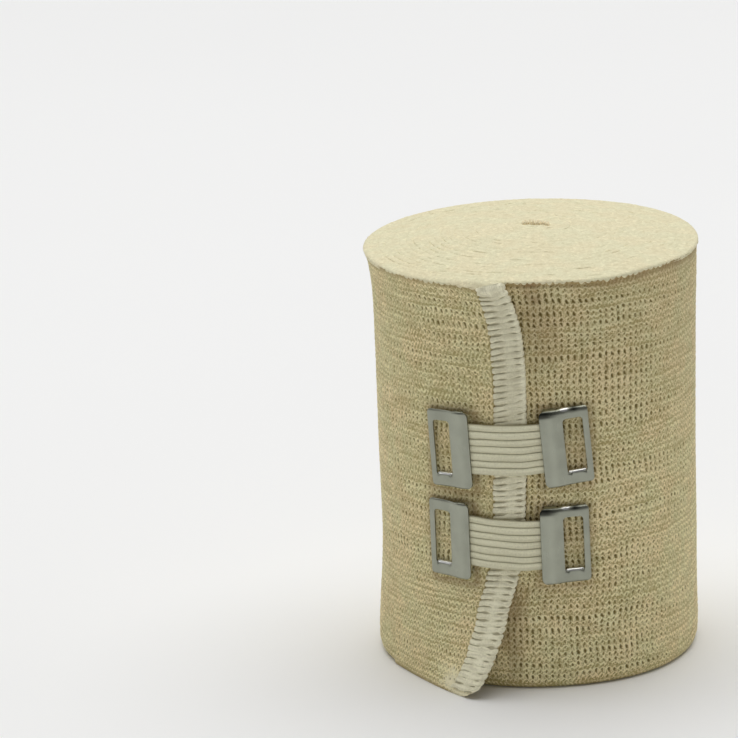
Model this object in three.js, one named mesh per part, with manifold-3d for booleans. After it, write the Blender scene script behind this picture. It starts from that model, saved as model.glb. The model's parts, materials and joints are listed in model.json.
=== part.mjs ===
// A long stretch bandage roll that stands on its end: the wound roll, the loose end of its outer
// lap with a sewn edge, and the two elastic clips that hold it.
// Units are millimetres and +Z is up. The origin is the centre of the base, on the roll's axis.
// Angles run around the axis in degrees, from the front (-Y), and grow towards +X.

import * as THREE from "three";
import { mergeVertices } from "three/addons/utils/BufferGeometryUtils.js";
import Module from "manifold-3d";

const wasm = await Module();
wasm.setup();

// Driving dimensions of the roll
const LAP = 1.6; // what one turn adds to the radius
const TURNS = 23.5;
const TOP_RADIUS = 39.7;
const ROOT_ANGLE = -64; // where the outer lap becomes the loose end
const ROOT_GAP = 0.35;
const CLEARANCE = 0.3; // between pieces that touch
const CLOTH = 1.25;
const COLUMN = 7.5; // angle between two columns of points
const CORE = { x: 1.3, y: 4.0 }; // the winding starts a little off the axis
const DOME = 3.2; // how far the middle of the top stands over the rim
const DOME_POWER = 1.6;
const TURN_CROWN = 0.35; // each turn's edge stands this far over the groove beside it
const TURN_GROOVE = 0.2;
const CORE_DIMPLE = { radius: 3.6, depth: 1.6 };
const OVAL = { size: 0.22, phase: 40 };
const LOBES = { size: 0.14, phase: -20 };
const SWELL = { size: 1.2, from: 5, full: 50, until: 120, none: 180 }; // the fuller right side
const BASE_CENTRE = { x: -1, y: 4 };

// Outer surface of the roll: height, radius and sideways shift of each section
const SECTIONS = [
  { z: 0, radius: 38.5, shift: -1.1 },
  { z: 5, radius: 38.6, shift: -0.95 },
  { z: 12, radius: 38.35, shift: -0.75 },
  { z: 20, radius: 38.05, shift: -0.4 },
  { z: 30, radius: 37.9, shift: -0.1 },
  { z: 50, radius: 38.05, shift: -0.1 },
  { z: 70, radius: 38.25, shift: 0.1 },
  { z: 82, radius: 38.4, shift: 0.2 },
  { z: 90, radius: 38.65, shift: 0.25 },
  { z: 95, radius: 39.0, shift: 0.05 },
  { z: 97.5, radius: 39.25, shift: -0.15 },
  { z: 99, radius: 39.7, shift: -0.3 },
  { z: 101, radius: 39.7, shift: -0.3 },
];

// Rows of points on the side: a height, or a drop below the rim, and how far the edge is rounded off
const SIDE_ROWS = [
  { z: 0, inset: 1.6 },
  { z: 0.3, inset: 0.9 },
  { z: 0.95, inset: 0.4 },
  { z: 2.4, inset: 0.08 },
  { z: 6, inset: 0 },
  { z: 12, inset: 0 },
  { z: 20, inset: 0 },
  { z: 30, inset: 0 },
  { z: 42, inset: 0 },
  { z: 55, inset: 0 },
  { z: 68, inset: 0 },
  { z: 80, inset: 0 },
  { z: 89, inset: 0 },
  { z: 94.5, inset: 0 },
  { drop: 2.4, inset: 0.1 },
  { drop: 1.5, inset: 0 },
  { drop: 0.8, inset: 0 },
  { drop: 0.3, inset: 0.12 },
  { drop: 0.05, inset: 0.38 },
];

// Height of the rim around the roll, which is not quite even
const RIM = [
  { angle: -180, z: 99.9 },
  { angle: -120, z: 99.8 },
  { angle: -80, z: 99.7 },
  { angle: -50, z: 99.65 },
  { angle: -20, z: 100.0 },
  { angle: 5, z: 100.15 },
  { angle: 24, z: 99.7 },
  { angle: 45, z: 100.4 },
  { angle: 70, z: 99.9 },
  { angle: 130, z: 99.9 },
  { angle: 180, z: 99.9 },
];
const RIM_MEAN = 99.8;

// The loose end, row by row: where it is cut, where it starts to peel off the roll and how far the
// cut edge then stands out
const END_ROWS = [
  { z: 0, cut: -19.6, peelFrom: -62, peel: 8.6 },
  { z: 2.8, cut: -18.7, peelFrom: -61, peel: 8.0 },
  { z: 5, cut: -17.5, peelFrom: -60, peel: 7.2 },
  { z: 8.2, cut: -15.7, peelFrom: -58, peel: 6.3 },
  { z: 11.5, cut: -14.4, peelFrom: -56, peel: 5.2 },
  { z: 15.5, cut: -12.8, peelFrom: -53, peel: 3.9 },
  { z: 20.5, cut: -11.7, peelFrom: -49, peel: 2.5 },
  { z: 25, cut: -9.9, peelFrom: -45, peel: 1.4 },
  { z: 29, cut: -8.4, peelFrom: -41, peel: 0.55 },
  { z: 33, cut: -7.2, peelFrom: -38, peel: 0.15 },
  { z: 40, cut: -6.0, peelFrom: -36, peel: 0 },
  { z: 47.5, cut: -5.35, peelFrom: -34, peel: 0 },
  { z: 56, cut: -4.9, peelFrom: -32, peel: 0 },
  { z: 65, cut: -4.55, peelFrom: -30, peel: 0 },
  { z: 72, cut: -4.5, peelFrom: -30, peel: 0.05 },
  { z: 79, cut: -4.65, peelFrom: -30, peel: 0.15 },
  { z: 86, cut: -5.4, peelFrom: -28, peel: 0.35 },
  { z: 91, cut: -6.6, peelFrom: -27, peel: 0.6 },
  { z: 96.5, cut: -8.5, peelFrom: -26, peel: 1.0 },
  { z: 99, cut: -9.5, peelFrom: -26, peel: 1.2 },
  { z: 102, cut: -10.6, peelFrom: -26, peel: 1.3 },
];
const CORNER_RADIUS = 4.6; // of the loose end's lower corner
const CORNER_HEIGHTS = [0, 0.35, 1.0, 2.0, 3.2];
const END_ROW_STEP = 3.6; // height between the rows of points above the corner
const END_TOP_ROW = 97;
const END_COLUMNS = 18; // points across the loose end, the last four of them under the stitches

// How far the loose end's upper edge lies below the rim
const END_DROP = [
  { angle: -66, drop: 0.35 },
  { angle: -32, drop: 0.4 },
  { angle: -22, drop: 1.0 },
  { angle: -16, drop: 1.5 },
  { angle: -9, drop: 0.2 },
  { angle: 0, drop: 0.1 },
];

// The band of overlock stitches that binds the cut edge
const STITCH_PITCH = 1.5;
const STITCHES_FROM = 4.2; // height of the lowest stitch
const BAND_WIDTH = 7.1;
const BAND_BELOW_TOP = 0.15;
const BAND_DIPS_FROM = 94; // above this the stitches follow the dip of the upper edge
const BAND_REBATE = { width: 7.6, depth: 0.45, slope: 0.2, from: 3 }; // cloth thinned under the stitches
const BAND_THREAD = 0.55; // thickness of the wrap round the edge
const BAND_FOOT = -1.2; // how far behind the cloth's face the wrap reaches
// Across the band: distance back from the cut edge, and how far it stands on a stitch and between
const BAND_SECTION = [
  { back: BAND_WIDTH, stitch: 0.02, between: -0.06 },
  { back: BAND_WIDTH - 0.6, stitch: 0.34, between: 0.04 },
  { back: 3.7, stitch: 0.36, between: 0.1 },
  { back: 1.6, stitch: 0.38, between: 0.28 },
  { back: -0.4, stitch: 0.26, between: 0.04 },
  { back: -CLEARANCE - BAND_THREAD, stitch: -0.2, between: -0.3 },
];

// The clips: one stamped plate at each end of a ribbed elastic
const PLATE = { width: 11.7, height: 18.8, metal: 0.42, corner: 1.2 };
const WINDOW = { from: -0.35, to: 4.4, height: 13.3, corner: 0.5 };
// The tongue bent in at the window's foot
const LIP = { height: 0.55, sunk: 0.2, inFromSides: 0.5, front: 0.7, back: 0.25 };
// A plate's section from its elastic side to its outer side: place across it and front face's height
const PLATE_SECTION = [
  { across: -5.85, front: 2.05 },
  { across: -1.75, front: 2.08 },
  { across: -0.95, front: 1.05 },
  { across: 5.85, front: 0.5 },
];
const SLEEVE_END = -1.75; // the bent-over flanges end here
const FLANGE = { front: 1.95, back: 0.3 };
const THROUGH_PLATE = { front: 3, back: -1 }; // a cut of this depth goes right through a plate
const ELASTIC = {
  width: 12.6,
  core: 0.62, // thickness between the ribs
  rib: 0.3, // height of a rib
  crownShare: 0.44, // how much of a rib's width is its crown
  ribs: 8,
  inside: 3.4, // how far it goes into a sleeve
  centre: 0.7, // height of its middle over a plate's zero
};
const ELASTIC_STEPS = 12;
// Heights over the roll's outer lap that the elastic passes between its plates
const ELASTIC_RISE = [
  { angle: -19.5, rise: 1.3 },
  { angle: -12.5, rise: 1.4 },
  { angle: -5.5, rise: 1.3 },
];

// Where each clip's two plates sit: angle, height, tilt in the plate's own plane, how far the plate's
// zero is from the outer lap and how much its elastic side is lifted
const CLIPS = {
  clip_upper: {
    left: { angle: -31.3, z: 59.0, tilt: 3.2, seat: 0.25, lean: 0 },
    right: { angle: 10.2, z: 60.1, tilt: 4.4, seat: -1.0, lean: 3.5 },
  },
  clip_lower: {
    left: { angle: -32.5, z: 36.7, tilt: 0.6, seat: 0.25, lean: 0 },
    right: { angle: 9.1, z: 36.0, tilt: 0.8, seat: -1.0, lean: 3.5 },
  },
};

// Materials
const clothSide = new THREE.MeshStandardMaterial({ color: 0xb9ad8a, roughness: 0.95 });
const thread = new THREE.MeshStandardMaterial({ color: 0xd6cfb8, roughness: 0.9 });
const metal = new THREE.MeshStandardMaterial({ color: 0xa9aca6, roughness: 0.32, metalness: 1 });
const rubberCloth = new THREE.MeshStandardMaterial({ color: 0xd2cba8, roughness: 0.85 });

const radians = THREE.MathUtils.degToRad;

// A smooth curve through one or more columns of a table
function curveThrough(rows, key, columns) {
  const places = rows.map((row) => row[key]);
  const values = rows.flatMap((row) => columns.map((column) => row[column]));
  const result = new Float64Array(columns.length);
  const interpolant = new THREE.CubicInterpolant(places, values, columns.length, result);
  return (place) => {
    const inRange = THREE.MathUtils.clamp(place, places[0], places[places.length - 1]);
    const found = interpolant.evaluate(inRange);
    return Object.fromEntries(columns.map((column, i) => [column, found[i]]));
  };
}

const sectionAt = curveThrough(SECTIONS, "z", ["radius", "shift"]);
const rimAt = curveThrough(RIM, "angle", ["z"]);
const endRowAt = curveThrough(END_ROWS, "z", ["cut", "peelFrom", "peel"]);
const endDropAt = curveThrough(END_DROP, "angle", ["drop"]);

function rimHeight(angle) {
  return rimAt(wrapAngle(angle)).z;
}

function wrapAngle(angle) {
  return THREE.MathUtils.euclideanModulo(angle + 180, 360) - 180;
}

// The roll is not quite round
function unevenness(angle) {
  const oval = OVAL.size * Math.sin(radians(2 * angle + OVAL.phase));
  const lobes = LOBES.size * Math.sin(radians(3 * angle + LOBES.phase));
  const { smoothstep } = THREE.MathUtils;
  const wrapped = wrapAngle(angle);
  const swell = smoothstep(wrapped, SWELL.from, SWELL.full) - smoothstep(wrapped, SWELL.until, SWELL.none);
  return oval + lobes + SWELL.size * swell;
}

function polar(angle, radius, z, centreX = 0, centreY = 0) {
  const turn = radians(angle);
  return new THREE.Vector3(centreX + radius * Math.sin(turn), centreY - radius * Math.cos(turn), z);
}

// A point on the outer lap. The wound angle is 0 at the loose end's root, -360 one turn before it
// and above 0 on the loose end.
function lapPoint(wound, z, outward) {
  const section = sectionAt(z);
  const angle = ROOT_ANGLE + wound;
  const radius = section.radius + (LAP * wound) / 360 + unevenness(angle) + outward;
  return polar(angle, radius, z, section.shift, 0);
}

// A closed geometry whose faces point out
function closedGeometry(points, faces) {
  let volume = 0;
  for (let i = 0; i < faces.length; i += 3) {
    const [a, b, c] = [points[faces[i]], points[faces[i + 1]], points[faces[i + 2]]];
    volume += a.dot(new THREE.Vector3().crossVectors(b, c));
  }
  const index = volume > 0 ? faces : faces.toReversed();
  const geometry = new THREE.BufferGeometry();
  geometry.setAttribute("position", new THREE.Float32BufferAttribute(points.flatMap((p) => [...p]), 3));
  geometry.setIndex(index);
  geometry.computeVertexNormals();
  return geometry;
}

// The triangles that cap a loop of a flat shape
function flatCap(section) {
  return THREE.ShapeUtils.triangulateShape(section, []);
}

// The triangles that cap a loop which runs out along a sheet's front and comes back along its back
function sheetCap(columns) {
  const cap = [];
  for (let i = 0; i + 1 < columns; i++) {
    const [back, nextBack] = [2 * columns - 1 - i, 2 * columns - 2 - i];
    cap.push([i, i + 1, nextBack], [i, nextBack, back]);
  }
  return cap;
}

// A closed solid through a row of like loops
function loft(loops, cap) {
  const count = loops[0].length;
  const faces = [];
  for (let k = 0; k + 1 < loops.length; k++) {
    for (let i = 0; i < count; i++) {
      const [a, b] = [k * count + i, k * count + ((i + 1) % count)];
      faces.push(a, b, b + count, a, b + count, a + count);
    }
  }
  const last = (loops.length - 1) * count;
  for (const [a, b, c] of cap) {
    faces.push(a + last, b + last, c + last, c, b, a);
  }
  return closedGeometry(loops.flat(), faces);
}

// A point on the top, at a distance inwards from the outline of its turn
function topPoint(wound, inward, raise) {
  const section = sectionAt(RIM_MEAN);
  const angle = ROOT_ANGLE + wound;
  const radius = TOP_RADIUS + (LAP * wound) / 360 - inward;
  const share = THREE.MathUtils.clamp(radius / TOP_RADIUS, 0, 1);
  const uneven = unevenness(angle) * share;
  const rim = THREE.MathUtils.lerp(RIM_MEAN, rimHeight(angle), share * share);
  const dome = DOME * (1 - Math.pow(share, DOME_POWER));
  const inDimple = Math.max(0, 1 - radius / CORE_DIMPLE.radius);
  const z = rim + dome + raise - CORE_DIMPLE.depth * inDimple;
  const centreX = THREE.MathUtils.lerp(CORE.x, section.shift, share);
  return polar(angle, radius + uneven, z, centreX, CORE.y * (1 - share));
}

function bandageRoll() {
  const points = [];
  const faces = [];
  const add = (point) => points.push(point) - 1;

  // The side, with one more column than spaces because the outline steps back at the root
  const columns = Math.round(360 / COLUMN) + 1;
  const rows = SIDE_ROWS.map(({ z, drop, inset }) =>
    Array.from({ length: columns }, (_, column) => {
      const wound = column * COLUMN - 360;
      const height = drop === undefined ? z : rimHeight(ROOT_ANGLE + wound) - drop;
      return add(lapPoint(wound, height, -inset));
    }),
  );
  const rim = rows.at(-1);
  for (let row = 0; row + 1 < rows.length; row++) {
    for (let column = 0; column < columns; column++) {
      const next = (column + 1) % columns;
      const [a, b] = [rows[row][column], rows[row][next]];
      const [c, d] = [rows[row + 1][next], rows[row + 1][column]];
      const topOfStep = next === 0 && row + 2 === rows.length;
      if (!topOfStep) faces.push(a, b, c, a, c, d);
    }
  }

  // The flat base
  const base = add(new THREE.Vector3(BASE_CENTRE.x, BASE_CENTRE.y, 0));
  for (let column = 0; column < columns; column++) {
    faces.push(base, rows[0][(column + 1) % columns], rows[0][column]);
  }

  // The top: a crown line along the middle of each turn, and a groove line along its outline
  const steps = (TURNS * 360) / COLUMN;
  const angles = Array.from({ length: steps + 1 }, (_, i) => (i - steps) * COLUMN);
  const crown = angles.map((wound) => add(topPoint(wound, LAP / 2, TURN_CROWN)));
  const groove = angles.map((wound) =>
    wound < -360 ? add(topPoint(wound, 0, -TURN_GROOVE)) : rim[(wound + 360) / COLUMN],
  );
  for (let i = 0; i + 1 < angles.length; i++) {
    const [a, b, c, d] = [crown[i], groove[i], groove[i + 1], crown[i + 1]];
    faces.push(a, b, c, a, c, d);
  }
  const turn = columns - 1;
  for (let i = 0; i + 1 < angles.length - turn; i++) {
    const [a, b] = [groove[i], crown[i + turn]];
    const [c, d] = [crown[i + turn + 1], groove[i + 1]];
    faces.push(a, b, c, a, c, d);
  }

  // The core's fold closes the middle
  const heart = add(new THREE.Vector3(CORE.x, CORE.y, RIM_MEAN + DOME - CORE_DIMPLE.depth));
  for (let i = 0; i < turn; i++) faces.push(heart, crown[i], crown[i + 1]);
  faces.push(heart, crown[turn], groove[0], heart, groove[0], crown[0]);

  // The top of the step, which the last crown point divides
  const lower = rows.at(-2);
  const [foot, heel] = [lower.at(-1), lower[0]];
  const end = crown.at(-1);
  faces.push(foot, heel, end, heel, rim[0], end, foot, end, rim.at(-1));
  return closedGeometry(points, faces);
}

// How far back the rounded corner takes the cut edge, in millimetres
function cornerInset(z) {
  if (z >= CORNER_RADIUS) return 0;
  const rise = CORNER_RADIUS - z;
  return CORNER_RADIUS - Math.sqrt(CORNER_RADIUS * CORNER_RADIUS - rise * rise);
}

// A point on the loose end's face. The place is measured back from the cut edge in millimetres, or
// forward of it below 0; outward is measured square to the cloth.
function endPoint(z, back, outward) {
  const row = endRowAt(z);
  const { radius } = sectionAt(z);
  const span = row.cut - row.peelFrom;
  const at = (angle) => {
    const peeled = Math.max(0, (angle - row.peelFrom) / span);
    return lapPoint(angle - ROOT_ANGLE, z, row.peel * peeled * peeled);
  };
  const angle = row.cut - THREE.MathUtils.radToDeg(back / (radius + row.peel));
  const [before, after] = [at(angle - 0.5), at(angle + 0.5)];
  const along = after.sub(before).normalize();
  const out = new THREE.Vector3(along.y, -along.x, 0);
  return at(angle).addScaledVector(out, outward);
}

function backAt(z, angle) {
  const row = endRowAt(z);
  return radians(row.cut - angle) * (sectionAt(z).radius + row.peel);
}

// The loose end's upper edge at a place measured back from the cut edge
function endTop(back) {
  const angle = endRowAt(RIM_MEAN).cut - THREE.MathUtils.radToDeg(back / TOP_RADIUS);
  return rimHeight(angle) - endDropAt(angle).drop;
}

function looseEnd() {
  const rootAngle = ROOT_ANGLE + THREE.MathUtils.radToDeg(ROOT_GAP / TOP_RADIUS);
  const heights = [...CORNER_HEIGHTS];
  for (let z = CORNER_RADIUS; z < END_TOP_ROW; z += END_ROW_STEP) heights.push(z);
  heights.push(END_TOP_ROW, RIM_MEAN);

  const { width, depth, slope, from } = BAND_REBATE;
  const underStitches = [width + slope / 2, width - slope / 2, BAND_WIDTH / 2, 0];
  const bare = END_COLUMNS - underStitches.length;
  const loops = heights.map((height) => {
    const full = backAt(height, rootAngle);
    const spacing = (full - underStitches[0]) / bare;
    const places = Array.from({ length: bare }, (_, i) => full - i * spacing).concat(underStitches);
    const inset = cornerInset(height);
    const row = places.map((back) => {
      const stitched = height > from && back < width;
      return {
        z: height < RIM_MEAN ? height : endTop(back),
        place: Math.max(back, inset),
        outward: stitched ? -depth : 0,
      };
    });
    const outer = row.map(({ z, place, outward }) => endPoint(z, place, outward));
    const inner = row.map(({ z, place }) => endPoint(z, place, -CLOTH));
    return [...outer, ...inner.reverse()];
  });
  return loft(loops, sheetCap(END_COLUMNS));
}

function overlockEdge() {
  const outline = (column) => BAND_SECTION.map((row) => ({ back: row.back, out: row[column] }));
  const overCloth = CLEARANCE - BAND_REBATE.depth;
  const under = [
    { back: -CLEARANCE - BAND_THREAD, out: BAND_FOOT },
    { back: -CLEARANCE, out: BAND_FOOT },
    { back: -CLEARANCE, out: overCloth },
    { back: BAND_WIDTH / 2, out: overCloth },
    { back: BAND_WIDTH, out: overCloth },
  ];
  const top = endTop(0) - BAND_BELOW_TOP;
  const rows = 2 * Math.round((top - STITCHES_FROM) / STITCH_PITCH) + 1;
  const loops = Array.from({ length: rows }, (_, i) => {
    const height = STITCHES_FROM + ((top - STITCHES_FROM) * i) / (rows - 1);
    const share = Math.max(0, (height - BAND_DIPS_FROM) / (top - BAND_DIPS_FROM));
    return [...outline(i % 2 ? "stitch" : "between"), ...under].map(({ back, out }) => {
      const dip = Math.max(0, endTop(0) - endTop(Math.max(0, back))) * share;
      return endPoint(height - dip, back, out);
    });
  });
  const section = [...outline("between"), ...under].map(({ back, out }) => new THREE.Vector2(-back, -out));
  return loft(loops, flatCap(section));
}

function toManifold(geometry) {
  const bare = geometry.clone();
  bare.deleteAttribute("normal");
  bare.deleteAttribute("uv");
  const merged = mergeVertices(bare, 1e-4);
  const mesh = new wasm.Mesh({
    numProp: 3,
    vertProperties: new Float32Array(merged.attributes.position.array),
    triVerts: new Uint32Array(merged.index.array),
  });
  return new wasm.Manifold(mesh);
}

function fromManifold(manifold) {
  const mesh = manifold.getMesh();
  const geometry = new THREE.BufferGeometry();
  geometry.setAttribute("position", new THREE.BufferAttribute(new Float32Array(mesh.vertProperties), 3));
  geometry.setIndex(new THREE.BufferAttribute(new Uint32Array(mesh.triVerts), 1));
  geometry.computeVertexNormals();
  return geometry;
}

// A block that runs right through a plate, with its four long edges rounded
function roundedBlock(left, right, bottom, top, corner) {
  const shape = new THREE.Shape();
  const quarter = Math.PI / 2;
  const turns = [
    { x: right - corner, y: bottom + corner, from: -quarter },
    { x: right - corner, y: top - corner, from: 0 },
    { x: left + corner, y: top - corner, from: quarter },
    { x: left + corner, y: bottom + corner, from: 2 * quarter },
  ];
  for (const { x, y, from } of turns) shape.absarc(x, y, corner, from, from + quarter);
  const block = new THREE.ExtrudeGeometry(shape, {
    depth: THROUGH_PLATE.front - THROUGH_PLATE.back,
    curveSegments: 3,
    bevelEnabled: false,
  });
  block.rotateX(Math.PI / 2);
  block.translate(0, -THROUGH_PLATE.back, 0);
  return block;
}

// A clip plate, seen from the front with its elastic side at the left; side is -1 for its mirror image
function clipPlate(side) {
  const block = (left, right, bottom, top, front, back) => {
    const box = new THREE.BoxGeometry(right - left, front - back, top - bottom);
    box.translate((left + right) / 2, -(front + back) / 2, (bottom + top) / 2);
    return toManifold(box);
  };
  const half = PLATE.height / 2;
  const fronts = PLATE_SECTION.map(({ across, front }) => [across * side, -front]);
  const backs = PLATE_SECTION.map(({ across, front }) => [across * side, -front + PLATE.metal]);
  const outline = [...fronts, ...backs.reverse()].map(([x, y]) => new THREE.Vector2(x, y));
  const sheet = new THREE.ExtrudeGeometry(new THREE.Shape(outline), {
    depth: PLATE.height,
    bevelEnabled: false,
  });
  sheet.translate(0, 0, -half);

  const across = (from, to) => [from * side, to * side].sort((a, b) => a - b);
  const [flangeLeft, flangeRight] = across(PLATE_SECTION[0].across, SLEEVE_END);
  const flange = (from, to) => block(flangeLeft, flangeRight, from, to, FLANGE.front, FLANGE.back);
  const [windowLeft, windowRight] = across(WINDOW.from, WINDOW.to);
  const windowHalf = WINDOW.height / 2;
  const opening = roundedBlock(windowLeft, windowRight, -windowHalf, windowHalf, WINDOW.corner);
  const lipFoot = -windowHalf - LIP.sunk;
  const lipSide = LIP.inFromSides;
  const lipTop = lipFoot + LIP.height;
  const lip = block(windowLeft + lipSide, windowRight - lipSide, lipFoot, lipTop, LIP.front, LIP.back);
  const outer = PLATE.width / 2;
  const blank = roundedBlock(-outer, outer, -half, half, PLATE.corner);
  const plate = toManifold(sheet)
    .add(flange(half - PLATE.metal, half))
    .add(flange(-half, -half + PLATE.metal))
    .subtract(toManifold(opening))
    .intersect(toManifold(blank))
    .add(lip);
  return fromManifold(plate);
}

// A group that carries a plate: turned to its angle, set on the cloth, tilted and leaned
function plateSeat(place, side) {
  const { radius, shift } = sectionAt(place.z);
  const turned = new THREE.Group();
  turned.position.set(shift, 0, place.z);
  turned.rotation.z = radians(place.angle);
  const seat = new THREE.Group();
  const wound = place.angle - ROOT_ANGLE;
  seat.position.y = -(radius + (LAP * wound) / 360 + unevenness(place.angle) + place.seat);
  seat.rotation.set(0, -radians(place.tilt), radians(place.lean * -side), "ZYX");
  turned.add(seat);
  turned.updateMatrixWorld(true);
  return { turned, seat };
}

// The elastic runs from inside one plate's sleeve, over the sewn edge, to inside the other's
function clipElastic(left, right) {
  const mouth = PLATE.width / 2;
  const onPlate = ({ seat }, x) => new THREE.Vector3(x, -ELASTIC.centre, 0).applyMatrix4(seat.matrixWorld);
  const start = onPlate(left, mouth);
  const end = onPlate(right, -mouth);
  const middle = ELASTIC_RISE.map(({ angle, rise }, i) => {
    const z = THREE.MathUtils.lerp(start.z, end.z, (i + 1) / (ELASTIC_RISE.length + 1));
    return lapPoint(angle - ROOT_ANGLE, z, rise);
  });
  const path = new THREE.CatmullRomCurve3([
    onPlate(left, mouth - ELASTIC.inside),
    start,
    ...middle,
    end,
    onPlate(right, ELASTIC.inside - mouth),
  ]);
  const pitch = ELASTIC.width / ELASTIC.ribs;
  const face = [];
  for (let rib = 0; rib < ELASTIC.ribs; rib++) {
    const middleOfRib = -ELASTIC.width / 2 + (rib + 0.5) * pitch;
    const halfCrown = (ELASTIC.crownShare * pitch) / 2;
    face.push([middleOfRib - pitch / 2, 0], [middleOfRib - halfCrown, 1], [middleOfRib + halfCrown, 1]);
  }
  face.push([ELASTIC.width / 2, 0]);
  const halfCore = ELASTIC.core / 2;
  const front = face.map(([v, rib]) => new THREE.Vector2(v, halfCore + rib * ELASTIC.rib));
  const section = [new THREE.Vector2(-ELASTIC.width / 2, -halfCore)];
  section.push(new THREE.Vector2(ELASTIC.width / 2, -halfCore), ...front.toReversed());
  const loops = Array.from({ length: ELASTIC_STEPS + 1 }, (_, i) => {
    const centre = path.getPointAt(i / ELASTIC_STEPS);
    const along = path.getTangentAt(i / ELASTIC_STEPS);
    const out = new THREE.Vector3(along.y, -along.x, 0).normalize();
    const up = new THREE.Vector3().crossVectors(along, out).negate().normalize();
    return section.map(({ x, y }) => centre.clone().addScaledVector(up, x).addScaledVector(out, y));
  });
  return loft(loops, flatCap(section));
}

function piece(name, geometry, material) {
  const mesh = new THREE.Mesh(geometry, material);
  mesh.name = name;
  return mesh;
}

function clip(name, places) {
  const group = new THREE.Group();
  const left = plateSeat(places.left, -1);
  const right = plateSeat(places.right, 1);
  left.seat.add(piece(`${name}_plate_left`, clipPlate(-1), metal));
  right.seat.add(piece(`${name}_plate_right`, clipPlate(1), metal));
  group.add(left.turned, right.turned);
  group.add(piece(`${name}_elastic`, clipElastic(left, right), rubberCloth));
  return group;
}

const bandage = new THREE.Group();
bandage.add(piece("bandage_roll", bandageRoll(), clothSide));
bandage.add(piece("loose_end", looseEnd(), clothSide));
bandage.add(piece("overlock_edge", overlockEdge(), thread));
for (const [name, places] of Object.entries(CLIPS)) bandage.add(clip(name, places));

export default bandage;
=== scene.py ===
"""A long stretch bandage wound into a roll, its loose end sewn and held by two elastic clips.

The shape tables are in millimetres, in the frame of the solids: +Z up, the base's centre at the
origin, and angles around the axis in degrees from the front (-Y), growing towards +X. Meshes,
lights and the camera are in metres.
"""

import json
import math
from typing import NamedTuple

import bpy
import numpy as np
from bpy.props import FloatProperty, FloatVectorProperty, PointerProperty
from mathutils import Matrix, Vector
from mathutils.geometry import delaunay_2d_cdt

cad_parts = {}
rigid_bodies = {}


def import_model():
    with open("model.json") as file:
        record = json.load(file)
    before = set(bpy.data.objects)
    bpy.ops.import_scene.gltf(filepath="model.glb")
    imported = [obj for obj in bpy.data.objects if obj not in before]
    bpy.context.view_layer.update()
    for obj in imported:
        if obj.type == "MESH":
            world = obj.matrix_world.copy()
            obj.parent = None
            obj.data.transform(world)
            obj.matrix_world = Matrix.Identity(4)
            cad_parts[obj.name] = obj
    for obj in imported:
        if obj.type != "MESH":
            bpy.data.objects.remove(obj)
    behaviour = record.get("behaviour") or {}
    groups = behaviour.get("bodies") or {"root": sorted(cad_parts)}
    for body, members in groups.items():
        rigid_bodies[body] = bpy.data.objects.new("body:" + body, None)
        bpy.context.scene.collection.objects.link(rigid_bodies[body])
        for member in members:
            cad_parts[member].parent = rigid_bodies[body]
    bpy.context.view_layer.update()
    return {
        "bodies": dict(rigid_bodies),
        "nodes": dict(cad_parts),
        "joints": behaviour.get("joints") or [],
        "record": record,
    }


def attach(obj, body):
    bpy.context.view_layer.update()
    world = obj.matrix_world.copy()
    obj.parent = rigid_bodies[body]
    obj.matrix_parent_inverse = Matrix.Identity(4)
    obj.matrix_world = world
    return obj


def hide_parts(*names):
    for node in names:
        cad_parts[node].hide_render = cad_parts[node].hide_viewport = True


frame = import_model()

bl_info = {
    "name": "Stretch bandage roll",
    "version": (1, 0, 0),
    "blender": (4, 5, 0),
    "location": "3D Viewport > Sidebar > Bandage",
    "description": "Builds a wound stretch bandage, its sewn end, two elastic clips and a plain stage",
    "category": "Object",
}

MM = 0.001
BODY = "root"

# The roll, as its solids have it
LAP = 1.6
TOP_RADIUS = 39.7
ROOT_ANGLE = -64.0
SEAM_GAP = 0.03
CLOTH = 1.25
CORE_X, CORE_Y = 1.3, 4.0
DOME, DOME_POWER = 3.2, 1.6
RIM_MEAN = 99.8
OVAL_SIZE, OVAL_PHASE = 0.22, 40.0
LOBE_SIZE, LOBE_PHASE = 0.14, -20.0
SWELL_SIZE, SWELL_RISES, SWELL_FALLS = 1.2, (5, 50), (120, 180)
CORNER_RADIUS = 4.6
CORE_LOOP, CORE_SHADOW = (0.88, 0.77, 0.52), (0.76, 0.62, 0.38)


class Section(NamedTuple):
    z: float
    radius: float
    shift: float


SECTIONS = [
    Section(0, 38.5, -1.1),
    Section(5, 38.6, -0.95),
    Section(12, 38.35, -0.75),
    Section(20, 38.05, -0.4),
    Section(30, 37.9, -0.1),
    Section(50, 38.05, -0.1),
    Section(70, 38.25, 0.1),
    Section(82, 38.4, 0.2),
    Section(90, 38.65, 0.25),
    Section(95, 39.0, 0.05),
    Section(97.5, 39.25, -0.15),
    Section(99, 39.7, -0.3),
    Section(101, 39.7, -0.3),
]


class FootRow(NamedTuple):
    z: float
    inset: float


# How far the roll's lower edge is rounded off
FOOT = [FootRow(0, 1.6), FootRow(0.3, 0.9), FootRow(0.95, 0.4), FootRow(2.4, 0.08), FootRow(6, 0)]


class RimRow(NamedTuple):
    angle: float
    z: float


RIM = [
    RimRow(-180, 99.9),
    RimRow(-120, 99.8),
    RimRow(-80, 99.7),
    RimRow(-50, 99.65),
    RimRow(-20, 100.0),
    RimRow(5, 100.15),
    RimRow(24, 99.7),
    RimRow(45, 100.4),
    RimRow(70, 99.9),
    RimRow(130, 99.9),
    RimRow(180, 99.9),
]


class EndRow(NamedTuple):
    z: float
    cut: float
    peel_from: float
    peel: float


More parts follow.
